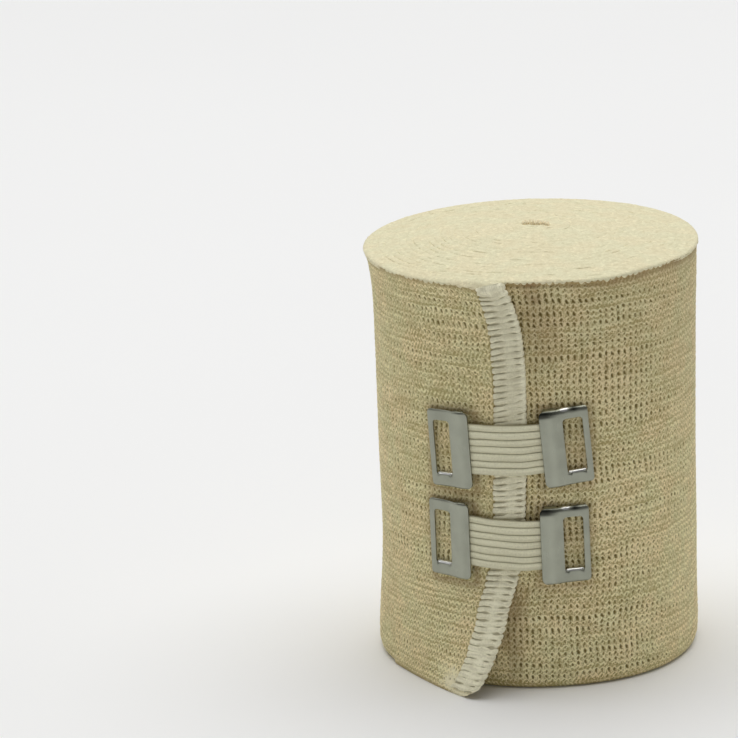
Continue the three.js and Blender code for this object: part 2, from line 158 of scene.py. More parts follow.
END_ROWS = [
    EndRow(0, -19.6, -62, 8.6),
    EndRow(2.8, -18.7, -61, 8.0),
    EndRow(5, -17.5, -60, 7.2),
    EndRow(8.2, -15.7, -58, 6.3),
    EndRow(11.5, -14.4, -56, 5.2),
    EndRow(15.5, -12.8, -53, 3.9),
    EndRow(20.5, -11.7, -49, 2.5),
    EndRow(25, -9.9, -45, 1.4),
    EndRow(29, -8.4, -41, 0.55),
    EndRow(33, -7.2, -38, 0.15),
    EndRow(40, -6.0, -36, 0),
    EndRow(47.5, -5.35, -34, 0),
    EndRow(56, -4.9, -32, 0),
    EndRow(65, -4.55, -30, 0),
    EndRow(72, -4.5, -30, 0.05),
    EndRow(79, -4.65, -30, 0.15),
    EndRow(86, -5.4, -28, 0.35),
    EndRow(91, -6.6, -27, 0.6),
    EndRow(96.5, -8.5, -26, 1.0),
    EndRow(99, -9.5, -26, 1.2),
    EndRow(102, -10.6, -26, 1.3),
]


class DropRow(NamedTuple):
    angle: float
    drop: float


# How far the loose end's upper edge lies below the rim
END_DROP = [
    DropRow(-66, 0.35),
    DropRow(-32, 0.4),
    DropRow(-22, 1.0),
    DropRow(-16, 1.5),
    DropRow(-9, 0.2),
    DropRow(0, 0.1),
]

# The stitches over the cut edge
STITCHES_FROM = 1.5
BAND_WIDTH = 7.1
BAND_BELOW_TOP = 0.15
BAND_DIPS_FROM = 94.0

# The clips
PLATE_WIDTH, PLATE_HEIGHT, PLATE_METAL, PLATE_CORNER = 11.7, 18.8, 0.42, 1.2
ELASTIC_WIDTH, ELASTIC_CORE, ELASTIC_RIB = 12.1, 0.62, 0.3
ELASTIC_INSIDE, ELASTIC_CENTRE = 3.4, 0.7


class RiseRow(NamedTuple):
    angle: float
    rise: float


ELASTIC_RISE = [RiseRow(-19.5, 1.3), RiseRow(-12.5, 1.4), RiseRow(-5.5, 1.3)]


class Seat(NamedTuple):
    side: int
    angle: float
    z: float
    tilt: float
    seat: float
    lean: float


CLIPS = {
    "clip_upper": (Seat(-1, -31.3, 59.0, 3.2, 0.25, 0), Seat(1, 10.2, 60.1, 4.4, -1.0, 3.5)),
    "clip_lower": (Seat(-1, -32.5, 36.7, 0.6, 0.25, 0), Seat(1, 9.1, 36.0, 0.8, -1.0, 3.5)),
}


def curve_through(rows, value):
    """A smooth curve through a table, from its first column to the named one."""
    places = np.array([row[0] for row in rows], float)
    values = np.array([getattr(row, value) for row in rows], float)
    steps = np.diff(values) / np.diff(places)
    slopes = np.empty_like(values)
    slopes[1:-1] = (values[2:] - values[:-2]) / (places[2:] - places[:-2])
    slopes[0] = 1.5 * steps[0] - 0.5 * slopes[1]
    slopes[-1] = 1.5 * steps[-1] - 0.5 * slopes[-2]

    def at(place):
        place = np.clip(place, places[0], places[-1])
        i = np.clip(np.searchsorted(places, place, side="right") - 1, 0, len(places) - 2)
        width = places[i + 1] - places[i]
        t = (place - places[i]) / width
        start = values[i] * (1 + 2 * t) * (1 - t) ** 2 + slopes[i] * width * t * (1 - t) ** 2
        end = values[i + 1] * (3 - 2 * t) * t**2 + slopes[i + 1] * width * (t - 1) * t**2
        return start + end

    return at


section_radius = curve_through(SECTIONS, "radius")
section_shift = curve_through(SECTIONS, "shift")
rim_curve = curve_through(RIM, "z")
end_cut = curve_through(END_ROWS, "cut")
end_peel_from = curve_through(END_ROWS, "peel_from")
end_peel = curve_through(END_ROWS, "peel")
end_drop = curve_through(END_DROP, "drop")


def foot_inset(z):
    return np.interp(z, [row.z for row in FOOT], [row.inset for row in FOOT])


def smooth_step(value, low, high):
    t = np.clip((value - low) / (high - low), 0, 1)
    return t * t * (3 - 2 * t)


def hill(value, middle, width):
    """A smooth hill of height 1 around a middle value."""
    return np.exp(-(((value - middle) / width) ** 2))


def wrap_angle(angle):
    return (np.asarray(angle) + 180) % 360 - 180


def rim_height(angle):
    return rim_curve(wrap_angle(angle))


def unevenness(angle):
    """The roll is not quite round, and fuller on its right side."""
    oval = OVAL_SIZE * np.sin(np.radians(2 * angle + OVAL_PHASE))
    lobes = LOBE_SIZE * np.sin(np.radians(3 * angle + LOBE_PHASE))
    wrapped = wrap_angle(angle)
    swell = smooth_step(wrapped, *SWELL_RISES) - smooth_step(wrapped, *SWELL_FALLS)
    return oval + lobes + SWELL_SIZE * swell


def stack(x, y, z):
    return np.stack(np.broadcast_arrays(x, y, z), axis=-1)


def flat_map(across, up):
    return stack(across, up, 0)[..., :2]


def unit(vectors):
    return vectors / np.linalg.norm(vectors, axis=-1, keepdims=True)


def polar(angle, radius, z, centre_x=0.0, centre_y=0.0):
    turn = np.radians(angle)
    return stack(centre_x + radius * np.sin(turn), centre_y - radius * np.cos(turn), z)


def lap_point(wound, z, outward=0.0):
    """A point on the outer lap. The wound angle is 0 at the loose end's root."""
    angle = ROOT_ANGLE + wound
    radius = section_radius(z) + LAP * wound / 360 + unevenness(angle) + outward
    return polar(angle, radius, z, section_shift(z))


def top_point(wound, inward, raised):
    """A point on the top, at a distance inwards from the outline of its turn."""
    angle = ROOT_ANGLE + wound
    radius = TOP_RADIUS + LAP * wound / 360 - inward
    share = np.clip(radius / TOP_RADIUS, 0, 1)
    rim = RIM_MEAN + (rim_height(angle) - RIM_MEAN) * share**2
    z = rim + DOME * (1 - share**DOME_POWER) + raised
    centre_x = CORE_X + (section_shift(RIM_MEAN) - CORE_X) * share
    return polar(angle, radius + unevenness(angle) * share, z, centre_x, CORE_Y * (1 - share))


def end_point(z, back, outward=0.0):
    """A point on the loose end, measured back from its cut edge and square to the cloth."""
    cut, peel_from, peel = end_cut(z), end_peel_from(z), end_peel(z)

    def at(angle):
        peeled = np.maximum(0, (angle - peel_from) / (cut - peel_from))
        return lap_point(angle - ROOT_ANGLE, z, peel * peeled**2)

    angle = cut - np.degrees(back / (section_radius(z) + peel))
    along = unit(at(angle + 0.5) - at(angle - 0.5))
    out = stack(along[..., 1], -along[..., 0], 0 * along[..., 0])
    return at(angle) + out * np.asarray(outward)[..., None]


def back_at(z, angle):
    return np.radians(end_cut(z) - angle) * (section_radius(z) + end_peel(z))


def end_top(back):
    angle = end_cut(RIM_MEAN) - np.degrees(back / TOP_RADIUS)
    return rim_height(angle) - end_drop(angle)


def corner_inset(z):
    """How far back the rounded corner takes the cut edge."""
    rise = CORNER_RADIUS - np.minimum(z, CORNER_RADIUS)
    return CORNER_RADIUS - np.sqrt(CORNER_RADIUS**2 - rise**2)


def steady_random(column, row, seed):
    """A number from 0 to 1 for each whole-number place, the same one each time."""
    mixed = np.sin(column * 127.1 + row * 311.7 + seed * 74.7) * 43758.5453
    return mixed - np.floor(mixed)


def smooth_random(x, y, seed):
    """A smooth field between -1 and 1 with features one unit across."""
    left, low = np.floor(x), np.floor(y)
    tx, ty = x - left, y - low
    tx, ty = tx * tx * (3 - 2 * tx), ty * ty * (3 - 2 * ty)

    def between(line):
        return steady_random(left, line, seed) * (1 - tx) + steady_random(left + 1, line, seed) * tx

    return 2 * (between(low) * (1 - ty) + between(low + 1) * ty) - 1


def catmull_rom(points, count):
    """Points evenly spread along a smooth curve through the given ones."""
    points = np.asarray(points, float)
    knots = np.concatenate([[2 * points[0] - points[1]], points, [2 * points[-1] - points[-2]]])
    t = np.linspace(0, 1, 16, endpoint=False)[:, None]
    fine = []
    for a, b, c, d in zip(knots, knots[1:], knots[2:], knots[3:]):
        square, cube = 2 * a - 5 * b + 4 * c - d, 3 * b - a - 3 * c + d
        fine.append(0.5 * (2 * b + (c - a) * t + square * t**2 + cube * t**3))
    fine = np.concatenate([*fine, points[-1:]])
    length = np.concatenate([[0], np.cumsum(np.linalg.norm(np.diff(fine, axis=0), axis=1))])
    at = np.linspace(0, length[-1], count)
    return np.stack([np.interp(at, length, fine[:, k]) for k in range(fine.shape[1])], axis=1)


# Meshes

SHARP_ANGLE = math.radians(60)


def grid_quads(rows, columns):
    index = np.arange(rows * columns).reshape(rows, columns)
    corners = [index[:-1, :-1], index[:-1, 1:], index[1:, 1:], index[1:, :-1]]
    return np.stack(corners, axis=-1).reshape(-1, 4)


def grid_rim(rows, columns):
    """The points round a grid's border, with each one's place along it."""
    index = np.arange(rows * columns).reshape(rows, columns)
    across, up = np.linspace(0, 1, columns)[:-1], np.linspace(0, 1, rows)[:-1]
    border = [index[0, :-1], index[:-1, -1], index[-1, :0:-1], index[:0:-1, 0]]
    return np.concatenate(border), np.concatenate([across, 1 + up, 2 + across, 3 + up])


def zip_rims(outer, inner):
    """The triangles between two closed borders of different counts."""
    (a, a_at), (b, b_at) = outer, inner
    a, a_at = np.append(a, a[0]), np.append(a_at, 4)
    b, b_at = np.append(b, b[0]), np.append(b_at, 4)
    faces = []
    i = j = 0
    while i + 1 < len(a) or j + 1 < len(b):
        step_a = j + 1 == len(b) or (i + 1 < len(a) and a_at[i + 1] <= b_at[j + 1])
        if step_a:
            faces.append((a[i + 1], a[i], b[j]))
            i += 1
        else:
            faces.append((b[j], b[j + 1], a[i]))
            j += 1
    return np.array(faces)


def volume_of(points, triangles):
    a, b, c = (points[triangles[:, k]] for k in range(3))
    return np.einsum("ij,ij->i", a, np.cross(b, c)).sum()


def link(name, data):
    thing = bpy.data.objects.new(name, data)
    bpy.context.scene.collection.objects.link(thing)
    return thing


def add_piece(name, points, faces, material, uv, fields=None):
    """A new object from points in millimetres and lists of faces, which end up facing outwards."""
    triangles = [part[:, :3] for part in faces]
    triangles += [part[:, [0, 2, 3]] for part in faces if part.shape[1] == 4]
    if volume_of(points, np.concatenate(triangles)) < 0:
        faces = [part[:, ::-1] for part in faces]
    corners = np.concatenate([part.ravel() for part in faces])
    sizes = np.concatenate([np.full(len(part), part.shape[1]) for part in faces])
    starts = np.concatenate([[0], np.cumsum(sizes)[:-1]])
    mesh = bpy.data.meshes.new(name)
    mesh.vertices.add(len(points))
    mesh.vertices.foreach_set("co", (points * MM).ravel())
    mesh.loops.add(len(corners))
    mesh.loops.foreach_set("vertex_index", corners.astype(np.int32))
    mesh.polygons.add(len(sizes))
    mesh.polygons.foreach_set("loop_start", starts.astype(np.int32))
    mesh.update(calc_edges=True)
    mesh.polygons.foreach_set("use_smooth", np.ones(len(sizes), bool))
    mesh.uv_layers.new(name=WEAVE_MAP).data.foreach_set("uv", uv[corners].ravel())
    for field, values in (fields or {}).items():
        mesh.attributes.new(field, "FLOAT", "POINT").data.foreach_set("value", values.ravel())
    mesh.materials.append(material)
    mesh.validate()
    mesh.set_sharp_from_angle(angle=SHARP_ANGLE)
    return link(name, mesh)


def closed_sheet(name, front, back, material, uv, back_uv, fields):
    """A sheet between a fine front grid and a coarse back grid."""
    rows, columns = front.shape[:2]
    back_rows, back_columns = back.shape[:2]
    first = rows * columns
    rim, rim_at = grid_rim(back_rows, back_columns)
    faces = [
        grid_quads(rows, columns),
        grid_quads(back_rows, back_columns)[:, ::-1] + first,
        zip_rims(grid_rim(rows, columns), (rim + first, rim_at)),
    ]
    points = np.concatenate([front.reshape(-1, 3), back.reshape(-1, 3)])
    maps = np.concatenate([uv.reshape(-1, 2), back_uv.reshape(-1, 2)])
    padding = np.zeros(back_rows * back_columns)
    whole = {key: np.concatenate([values.ravel(), padding]) for key, values in fields.items()}
    return add_piece(name, points, faces, material, maps, whole)


def tubes(points):
    """Faces of closed tubes. The points are in an array of tubes, steps and corners."""
    index = np.arange(points[..., 0].size).reshape(points.shape[:3])
    turned = np.roll(index, -1, axis=2)
    sides = np.stack([index[:, :-1], turned[:, :-1], turned[:, 1:], index[:, 1:]], axis=-1).reshape(-1, 4)
    fan = np.arange(1, index.shape[2] - 1)
    caps = []
    for ring, order in ((index[:, 0], (0, 2, 1)), (index[:, -1], (0, 1, 2))):
        fans = np.stack([np.repeat(ring[:, :1], len(fan), 1), ring[:, fan], ring[:, fan + 1]], axis=-1)
        caps.append(fans.reshape(-1, 3)[:, order])
    return [sides, *caps]


def add_tubes(name, points, material, uv, fields=None):
    return add_piece(name, points.reshape(-1, 3), tubes(points), material, uv.reshape(-1, 2), fields)


def settle(piece, node):
    """Makes a piece ride on the roll's body and stand for its solid."""
    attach(piece, BODY)
    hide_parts(node)


# Materials

WEAVE_MAP = "Weave"
OPEN_FIELD = "open"
SHADE_FIELD = "shade"
LIGHT_FIELD = "light"
CALM_FIELD = "calm"


class Finish:
    """A material that is put together one node at a time."""

    def __init__(self, name):
        self.material = bpy.data.materials.new(name)
        self.material.use_nodes = True
        self.tree = self.material.node_tree
        self.shader = self.tree.nodes["Principled BSDF"]

    def node(self, kind, inputs=None, **settings):
        node = self.tree.nodes.new(kind)
        for key, value in settings.items():
            setattr(node, key, value)
        for key, value in (inputs or {}).items():
            self.feed(node.inputs[key], value)
        return node

    def feed(self, socket, value):
        if isinstance(value, bpy.types.NodeSocket):
            self.tree.links.new(value, socket)
        elif socket.type == "RGBA":
            socket.default_value = (*value, 1)
        else:
            socket.default_value = value

    def math(self, operation, first, second=0.0, third=0.0):
        return self.node("ShaderNodeMath", {0: first, 1: second, 2: third}, operation=operation).outputs[0]

    def times(self, first, second):
        return self.math("MULTIPLY", first, second)

    def minus(self, first, second):
        return self.math("SUBTRACT", first, second)

    def times_plus(self, value, factor, more):
        return self.math("MULTIPLY_ADD", value, factor, more)

    def step(self, value, low, high):
        inputs = {"Value": value, "From Min": low, "From Max": high}
        return self.node("ShaderNodeMapRange", inputs, interpolation_type="SMOOTHSTEP").outputs[0]

    def mix(self, share, first, second, blend="MIX"):
        inputs = {0: share, 6: first, 7: second}
        return self.node("ShaderNodeMix", inputs, data_type="RGBA", blend_type=blend).outputs[2]

    def place(self):
        return self.node("ShaderNodeTexCoord").outputs["Object"]

    def noise(self, scale, detail=2.0, roughness=0.5, place=None):
        inputs = {"Vector": place or self.place(), "Scale": scale, "Detail": detail, "Roughness": roughness}
        return self.node("ShaderNodeTexNoise", inputs).outputs[0]

    def stretched(self, place, scale):
        return self.node("ShaderNodeMapping", {"Vector": place, "Scale": scale}).outputs[0]

    def plane(self, x, y):
        return self.node("ShaderNodeCombineXYZ", {0: x, 1: y}).outputs[0]

    def weave(self):
        """The column and row of the weave at this place."""
        uv = self.node("ShaderNodeUVMap", uv_map=WEAVE_MAP).outputs[0]
        split = self.node("ShaderNodeSeparateXYZ", {0: uv})
        return split.outputs[0], split.outputs[1]

    def field(self, name):
        return self.node("ShaderNodeAttribute", attribute_name=name).outputs["Fac"]

    def bump(self, height, depth, strength=1.0, below=None):
        inputs = {"Height": height, "Distance": depth, "Strength": strength}
        if below:
            inputs["Normal"] = below
        return self.node("ShaderNodeBump", inputs).outputs[0]

    def finish(self, colour, roughness, normal=None, **plain):
        self.feed(self.shader.inputs["Base Color"], colour)
        self.feed(self.shader.inputs["Roughness"], roughness)
        if normal:
            self.feed(self.shader.inputs["Normal"], normal)
        for key, value in plain.items():
            self.feed(self.shader.inputs[key.replace("_", " ").title()], value)
        return self.material


# The weave's cell, from 0 to 1 each way: a gap with a loop of thread around it, ribs at the sides of
# the cell and an arched thread over it
GAP_WIDE, GAP_WIDE_OPEN = 0.11, 0.075
GAP_TALL, GAP_TALL_OPEN = 0.13, 0.29
GAP_SLANT = 0.25
GAP_UP = 0.45
GAP_EDGE = (0.2, 1.7)
GAP_SHOWS = (-0.4, 0.4)
# How much painted shade the gaps get, and how much more where the weave is open
GAP_DARK, GAP_DARK_OPEN = 0.22, 0.62
LOOP_FROM, LOOP_UNTIL = (1.0, 1.55), (1.8, 2.7)
ARCH_TOP, ARCH_SLOPE = 0.98, 0.95
ARCH_EDGE = (0.05, 0.29)
STROKES, STROKE_SLANT = 1.5, 0.8
RIB_EDGE = (0.26, 0.46)
MEAN_THREAD = 0.52
CLEAN_CLOTH = (0.95, 0.92, 0.7)


def cell_relief(column, row, openness, light):
    """Height of the weave over its mean face, in millimetres."""
    from_middle = column - np.floor(column) - 0.5
    aside = np.abs(from_middle)
    up = row - np.floor(row)
    wide = GAP_WIDE + GAP_WIDE_OPEN * openness
    tall = GAP_TALL + GAP_TALL_OPEN * openness
    slant = GAP_SLANT * (up - GAP_UP) * (1 - 2 * (np.floor(row) % 2))
    away = np.hypot((from_middle + slant) / wide, (up - GAP_UP) / tall)
    gap = (1 - smooth_step(away, *GAP_EDGE)) * smooth_step(openness, *GAP_SHOWS)
    arch = 1 - smooth_step(np.abs(up - ARCH_TOP + ARCH_SLOPE * aside), *ARCH_EDGE)
    rib = smooth_step(aside, *RIB_EDGE)
    sizes = bpy.context.scene.bandage_cloth
    depth = sizes.gap_depth / MM * (0.3 + 0.9 * openness)
    return sizes.thread_height / MM * np.maximum(arch * light, rib * (0.25 + 0.4 * openness)) - depth * gap


def cloth_finish(name, light, tan, gap_colour, patch):
    """Woven elastic cloth, painted on the cells that its relief has."""
    finish = Finish(name)
    column, row = finish.weave()
    openness = finish.field(OPEN_FIELD)
    shade = finish.field(SHADE_FIELD)
    glow = finish.field(LIGHT_FIELD)
    place = finish.place()
    coarse = finish.minus(finish.noise(1900, 0, 0.5, place), 0.5)
    fine = finish.minus(finish.noise(3300, 0, 0.5, place), 0.5)
    streak = finish.minus(finish.noise(1.0, 0, 0.5, finish.stretched(place, (220, 220, 1900))), 0.5)

    from_middle = finish.minus(finish.math("FRACT", column), 0.5)
    aside = finish.math("ABSOLUTE", from_middle)
    up = finish.math("FRACT", row)
    line = finish.math("FLOOR", row)
    wide = finish.times_plus(openness, GAP_WIDE_OPEN, GAP_WIDE)
    tall = finish.times_plus(openness, GAP_TALL_OPEN, GAP_TALL)
    # The gaps of one row lean left, and those of the next one right
    above = finish.minus(up, GAP_UP)
    side = finish.times_plus(finish.math("FLOORED_MODULO", line, 2.0), -2.0, 1.0)
    lean = finish.times(above, side)
    leaning = finish.times_plus(lean, GAP_SLANT, from_middle)
    across = finish.math("POWER", finish.math("DIVIDE", leaning, wide), 2.0)
    along = finish.math("POWER", finish.math("DIVIDE", above, tall), 2.0)
    away = finish.times_plus(fine, 0.9, finish.math("SQRT", finish.math("ADD", across, along)))
    gap = finish.minus(1.0, finish.step(away, *GAP_EDGE))
    gap = finish.times(gap, finish.step(openness, *GAP_SHOWS))
    loop = finish.minus(finish.step(away, *LOOP_FROM), finish.step(away, *LOOP_UNTIL))
    slant = finish.times_plus(aside, ARCH_SLOPE, finish.minus(up, ARCH_TOP))
    arch = finish.minus(1.0, finish.step(finish.math("ABSOLUTE", slant), *ARCH_EDGE))
    bright = finish.times(finish.math("MAXIMUM", arch, finish.times(loop, 0.75)), glow)
    rib = finish.times(finish.step(aside, *RIB_EDGE), finish.times_plus(openness, 0.5, 0.17))

    # Some rows are paler for a stretch, and some show the slant of their threads
    by_row = []
    for stretch, apart in ((0.11, 3.7), (0.17, 5.3)):
        place_in_row = finish.plane(finish.times(column, stretch), finish.times(line, apart))
        by_row.append(finish.noise(1.0, 1, 0.5, place_in_row))
    pale_row = finish.minus(by_row[0], 0.5)
    slant_row = finish.times_plus(finish.step(by_row[1], 0.45, 0.6), 0.6, 0.4)
    slanted = finish.times_plus(lean, STROKE_SLANT, finish.times(column, STROKES))
    strokes = finish.step(finish.math("PINGPONG", slanted, 0.5), 0.08, 0.42)
    closed = finish.times(finish.minus(1.0, openness), finish.minus(strokes, 0.5))
    closed = finish.times(closed, slant_row)
    thread = finish.times_plus(finish.math("MAXIMUM", bright, rib), 1.3, 0.04)
    over = finish.math("MAXIMUM", finish.minus(glow, 1.0), 0.0)
    thread = finish.times_plus(over, 0.7, thread)
    for specks, strength in ((coarse, 0.8), (fine, 0.9), (streak, 0.5), (closed, 0.7), (pale_row, 0.8)):
        thread = finish.times_plus(specks, strength, thread)
    evened = finish.times(finish.field(CALM_FIELD), finish.minus(MEAN_THREAD, thread))
    thread = finish.math("ADD", thread, evened)
    thread = finish.math("MINIMUM", finish.math("MAXIMUM", thread, 0.0), 1.0)
    colour = finish.mix(thread, tan, light)
    for scale, warm, cool in (
        (330, (1.012, 0.993, 0.98), (0.988, 1.002, 0.99)),
        (105, (1.022, 0.99, 0.98), (0.975, 1.0, 0.985)),
    ):
        cloudy = finish.step(finish.noise(scale, 1, 0.5, place), 0.35, 0.65)
        colour = finish.mix(1.0, colour, finish.mix(cloudy, warm, cool), "MULTIPLY")
    # Painted shade from the shade field, which also holds a few browner spots
    colour = finish.mix(shade, colour, patch)
    colour = finish.mix(finish.times(finish.step(glow, 1.0, 1.9), 0.5), colour, CLEAN_CLOTH)
    # Painted shade in the weave's gaps, deeper where the weave is more open
    gap_share = finish.times(gap, finish.times_plus(openness, GAP_DARK_OPEN, GAP_DARK))
    colour = finish.mix(gap_share, colour, gap_colour)
    heights = finish.minus(thread, gap)
    bump = finish.bump(heights, 0.0001, 0.6)
    return finish.finish(colour, 0.92, bump, sheen_weight=0.05, sheen_roughness=0.5)


def selvedge_finish(name, cream, shadow):
    """The turns' bulky edges: soft cream loops with a fine grain."""
    finish = Finish(name)
    place = finish.place()
    fibres = finish.noise(2100, 1, 0.6, place)
    tufts = finish.noise(750, 1, 0.55, place)
    cloudy = finish.noise(160, 1, 0.5, place)
    grain = finish.times_plus(fibres, 0.55, finish.times(tufts, 0.45))
    colour = finish.mix(finish.step(grain, 0.36, 0.62), shadow, cream)
    dots = finish.step(finish.noise(950, 1, 0.5, place), 0.59, 0.68)
    colour = finish.mix(finish.times(dots, 0.6), colour, tuple(min(1.0, 1.16 * c) for c in cream))
    tint = finish.mix(finish.step(cloudy, 0.35, 0.65), (1.01, 0.99, 0.985), (0.99, 1.005, 1.01))
    colour = finish.mix(1.0, colour, tint, "MULTIPLY")
    bump = finish.bump(grain, 0.00012, 0.6)
    return finish.finish(colour, 0.95, bump, sheen_weight=0.1, sheen_roughness=0.5)


def thread_finish(name, pale, dusk, lines, strand):
    """Sewing thread or covered elastic, with fine strands along it: its light field paints its light and
    shade, dusky in its grooves and on its shaded side, pale where lit.
    """
    finish = Finish(name)
    along, around = finish.weave()
    high = finish.field(LIGHT_FIELD)
    strands = finish.noise(1.0, 1, 0.5, finish.plane(finish.times(along, 0.3), finish.times(around, lines)))
    fibres = finish.noise(2400, 1, 0.5)
    height = finish.times_plus(fibres, 0.35, finish.times(strands, 0.65))
    grain = finish.times_plus(finish.step(height, 0.35, 0.62), strand, 1.02 - strand)
    colour = finish.mix(finish.times(grain, high), dusk, pale)
    bump = finish.bump(height, 0.00005, 0.6)
    return finish.finish(colour, 0.85, bump, sheen_weight=0.1, sheen_roughness=0.5)


def metal_finish(name, tone):
    """Stamped sheet metal with a satin face, faint rolling lines and handling marks."""
    finish = Finish(name)
    place = finish.place()
    stretched = finish.stretched(place, (1.0, 1.0, 0.06))
    lines = finish.noise(5200, 3, 0.6, stretched)
    smudges = finish.noise(260, 3, 0.6, place)
    dents = finish.noise(170, 1, 0.5, place)
    scratches = finish.step(finish.noise(2600, 2, 0.8, stretched), 0.62, 0.74)
    colour = finish.mix(finish.step(smudges, 0.3, 0.75), tone, tuple(0.9 * c for c in tone))
    # Painted highlights, from the light field
    glow = finish.field(LIGHT_FIELD)
    colour = finish.mix(glow, colour, tuple(1.2 * c for c in tone))
    colour = finish.mix(finish.step(glow, 0.7, 1.5), colour, (0.9, 0.9, 0.88))
    # Painted dark reflections, from the shade field
    colour = finish.mix(finish.field(SHADE_FIELD), colour, tuple(0.08 * c for c in tone))
    rough = finish.times_plus(smudges, 0.12, finish.times_plus(scratches, -0.06, 0.24))
    wavy = finish.bump(dents, 0.0008, 0.5)
    normal = finish.bump(finish.math("ADD", lines, scratches), 0.000008, 0.2, wavy)
    return finish.finish(colour, rough, normal, metallic=1.0)


def length_setting(name, description, default):
    return FloatProperty(name=name, description=description, default=default, unit="LENGTH")


def angle_setting(name, description, default):
    return FloatProperty(name=name, description=description, default=default, subtype="ANGLE")


def power_setting(name, description, default):
    return FloatProperty(name=name, description=description, default=default, subtype="POWER")


def colour_setting(name, description, default):
    return FloatVectorProperty(name=name, description=description, default=default, subtype="COLOR")


class ClothSettings(bpy.types.PropertyGroup):
    """The weave of the bandage."""

    column: length_setting("Column", "Width of one cell of the weave", 1.55 * MM)
    gap_depth: length_setting("Gap depth", "Depth of the gaps between the threads", 0.42 * MM)
    thread_height: length_setting("Thread height", "How far the threads stand out", 0.16 * MM)
    loop: length_setting("Edge loop", "Length of one loop of the selvedge", 1.55 * MM)
    light: colour_setting("Light thread", "Colour of the pale threads", (0.98, 0.875, 0.54))
    tan: colour_setting("Ground", "Colour of the ground of the weave", (0.45, 0.37, 0.155))
    # Painted shade: the colour that darkens the weave's gaps
    gap: colour_setting("Gaps", "Colour seen in the gaps", (0.14, 0.105, 0.018))
    # Painted shade: the colour that the shade field mixes in, also on a few browner spots
    patch: colour_setting(
        "Shaded cloth", "Colour of the browner cloth by the sewn edge", (0.32, 0.205, 0.09)
    )
    cream: colour_setting("Selvedge", "Colour of the turns' edges", (0.82, 0.765, 0.52))
    cream_shadow: colour_setting("Selvedge shadow", "Colour between the turns' loops", (0.73, 0.67, 0.44))


class SewingSettings(bpy.types.PropertyGroup):
    """The stitches over the cut edge."""

    pitch: length_setting("Stitch", "Height of one stitch", 1.5 * MM)
    pale: colour_setting("Thread", "Colour of the thread", (0.98, 0.94, 0.7))
    dusk: colour_setting("Thread shadow", "Colour between the thread's strands", (0.47, 0.42, 0.26))


class ClipSettings(bpy.types.PropertyGroup):
    """The two clips."""

    metal: colour_setting("Metal", "Colour of the plates", (0.34, 0.35, 0.285))
    elastic: colour_setting("Elastic", "Colour of the elastic's ribs", (1.0, 0.97, 0.71))
    # Painted shade in the grooves between the elastic's ribs
    elastic_groove: colour_setting("Groove", "Colour between the elastic's ribs", (0.32, 0.29, 0.175))


class StageSettings(bpy.types.PropertyGroup):
    """The floor, the lights and the camera."""

    distance: length_setting("Distance", "How far in front of the axis the camera is", 1.2)
    height: length_setting("Height", "Height of the camera", 0.418)
    pitch: angle_setting("Pitch", "How far the camera looks down", math.radians(16.2))
    yaw: angle_setting("Yaw", "How far the camera looks to the right", math.radians(-1.9))
    roll: angle_setting("Roll", "How far the camera is rolled", math.radians(-2.2))
    view: angle_setting("View", "The camera's field of view", math.radians(8.1))
    floor: colour_setting("Floor", "Colour of the floor", (0.93, 0.93, 0.925))
    sky: FloatProperty(name="Room light", description="Strength of the even room light", default=0.14, min=0)
    top_light: power_setting("Top light", "Power of the light overhead", 49.0)
    side_light: power_setting("Side lights", "Power of each light beside the roll", 1.7)
    front_light: power_setting("Front light", "Power of the low light in front", 0.75)


def cloth_of(context):
    sizes = context.scene.bandage_cloth
    colours = (tuple(colour) for colour in (sizes.light, sizes.tan, sizes.gap, sizes.patch))
    return bpy.data.materials.get("woven_cloth") or cloth_finish("woven_cloth", *colours)


def selvedge_of(context):
    sizes = context.scene.bandage_cloth
    colours = tuple(sizes.cream), tuple(sizes.cream_shadow)
    return bpy.data.materials.get("selvedge_loops") or selvedge_finish("selvedge_loops", *colours)


STRONG_ROW, FAINT_ROW = 0.62, 0.36


def openness_of(column, row, bias):
    """How open each cell is: strong and faint rows, fading in and out around the roll."""
    line = np.floor(row)
    openness = np.where(line % 2 == 0, STRONG_ROW, FAINT_ROW) + bias
    for share, stretch, apart, seed in ((0.3, 9, 0.77, 5), (0.22, 2.6, 0.91, 6), (0.25, 14, 1 / 7, 8)):
        openness = openness + share * smooth_random(column / stretch, line * apart, seed)
    by_row, by_cell = steady_random(line, 0, 3), steady_random(np.floor(column), line, 7)
    return np.clip(openness + 0.5 * (by_row - 0.5) + 0.45 * (by_cell - 0.5), 0, 1)


def lightness_of(column, row):
    """How much of each cell's arched thread shows."""
    return 0.45 + 0.55 * steady_random(np.floor(column), np.floor(row), 9)


def strayed(column, row, rows):
    """The threads' own places: none of their lines is straight or even."""
    aside = 0.34 * smooth_random(column / 9, row / 5, 11) + 0.1 * smooth_random(column * 0.9, row / 2, 12)
    higher = 0.3 * smooth_random(column / 6, row / 3, 13)
    higher = higher + 0.18 * smooth_random(column * 0.8, row * 0.9, 14)
    ease = smooth_step(row, 0, 1.5) * (1 - smooth_step(row, rows - 1.5, rows))
    return column + aside, row + higher * ease


def weave_map(column, row):
    """Where each place is in the weave. In every cell the gap strays a little from the middle."""
    cell, line = np.floor(column), np.floor(row)
    across, up = column - cell, row - line
    within = (across > 0.01) & (across < 0.99) & (up > 0.01) & (up < 0.99)
    aside = 0.1 * (steady_random(cell, line, 15) - 0.5)
    higher = 0.32 * (steady_random(cell, line, 16) - 0.5)
    return flat_map(column + aside * within, row + higher * within)


def calm_at(angle):
    """The weave shows less where the roll turns away on its sides."""
    return 0.4 * smooth_step(np.abs(wrap_angle(angle)), 22, 62)


# The plates' area on the cloth is taken this much lower, where their painted shadow falls; the open cells in
# their windows use the same area
PRESSED_DROP = 0.9


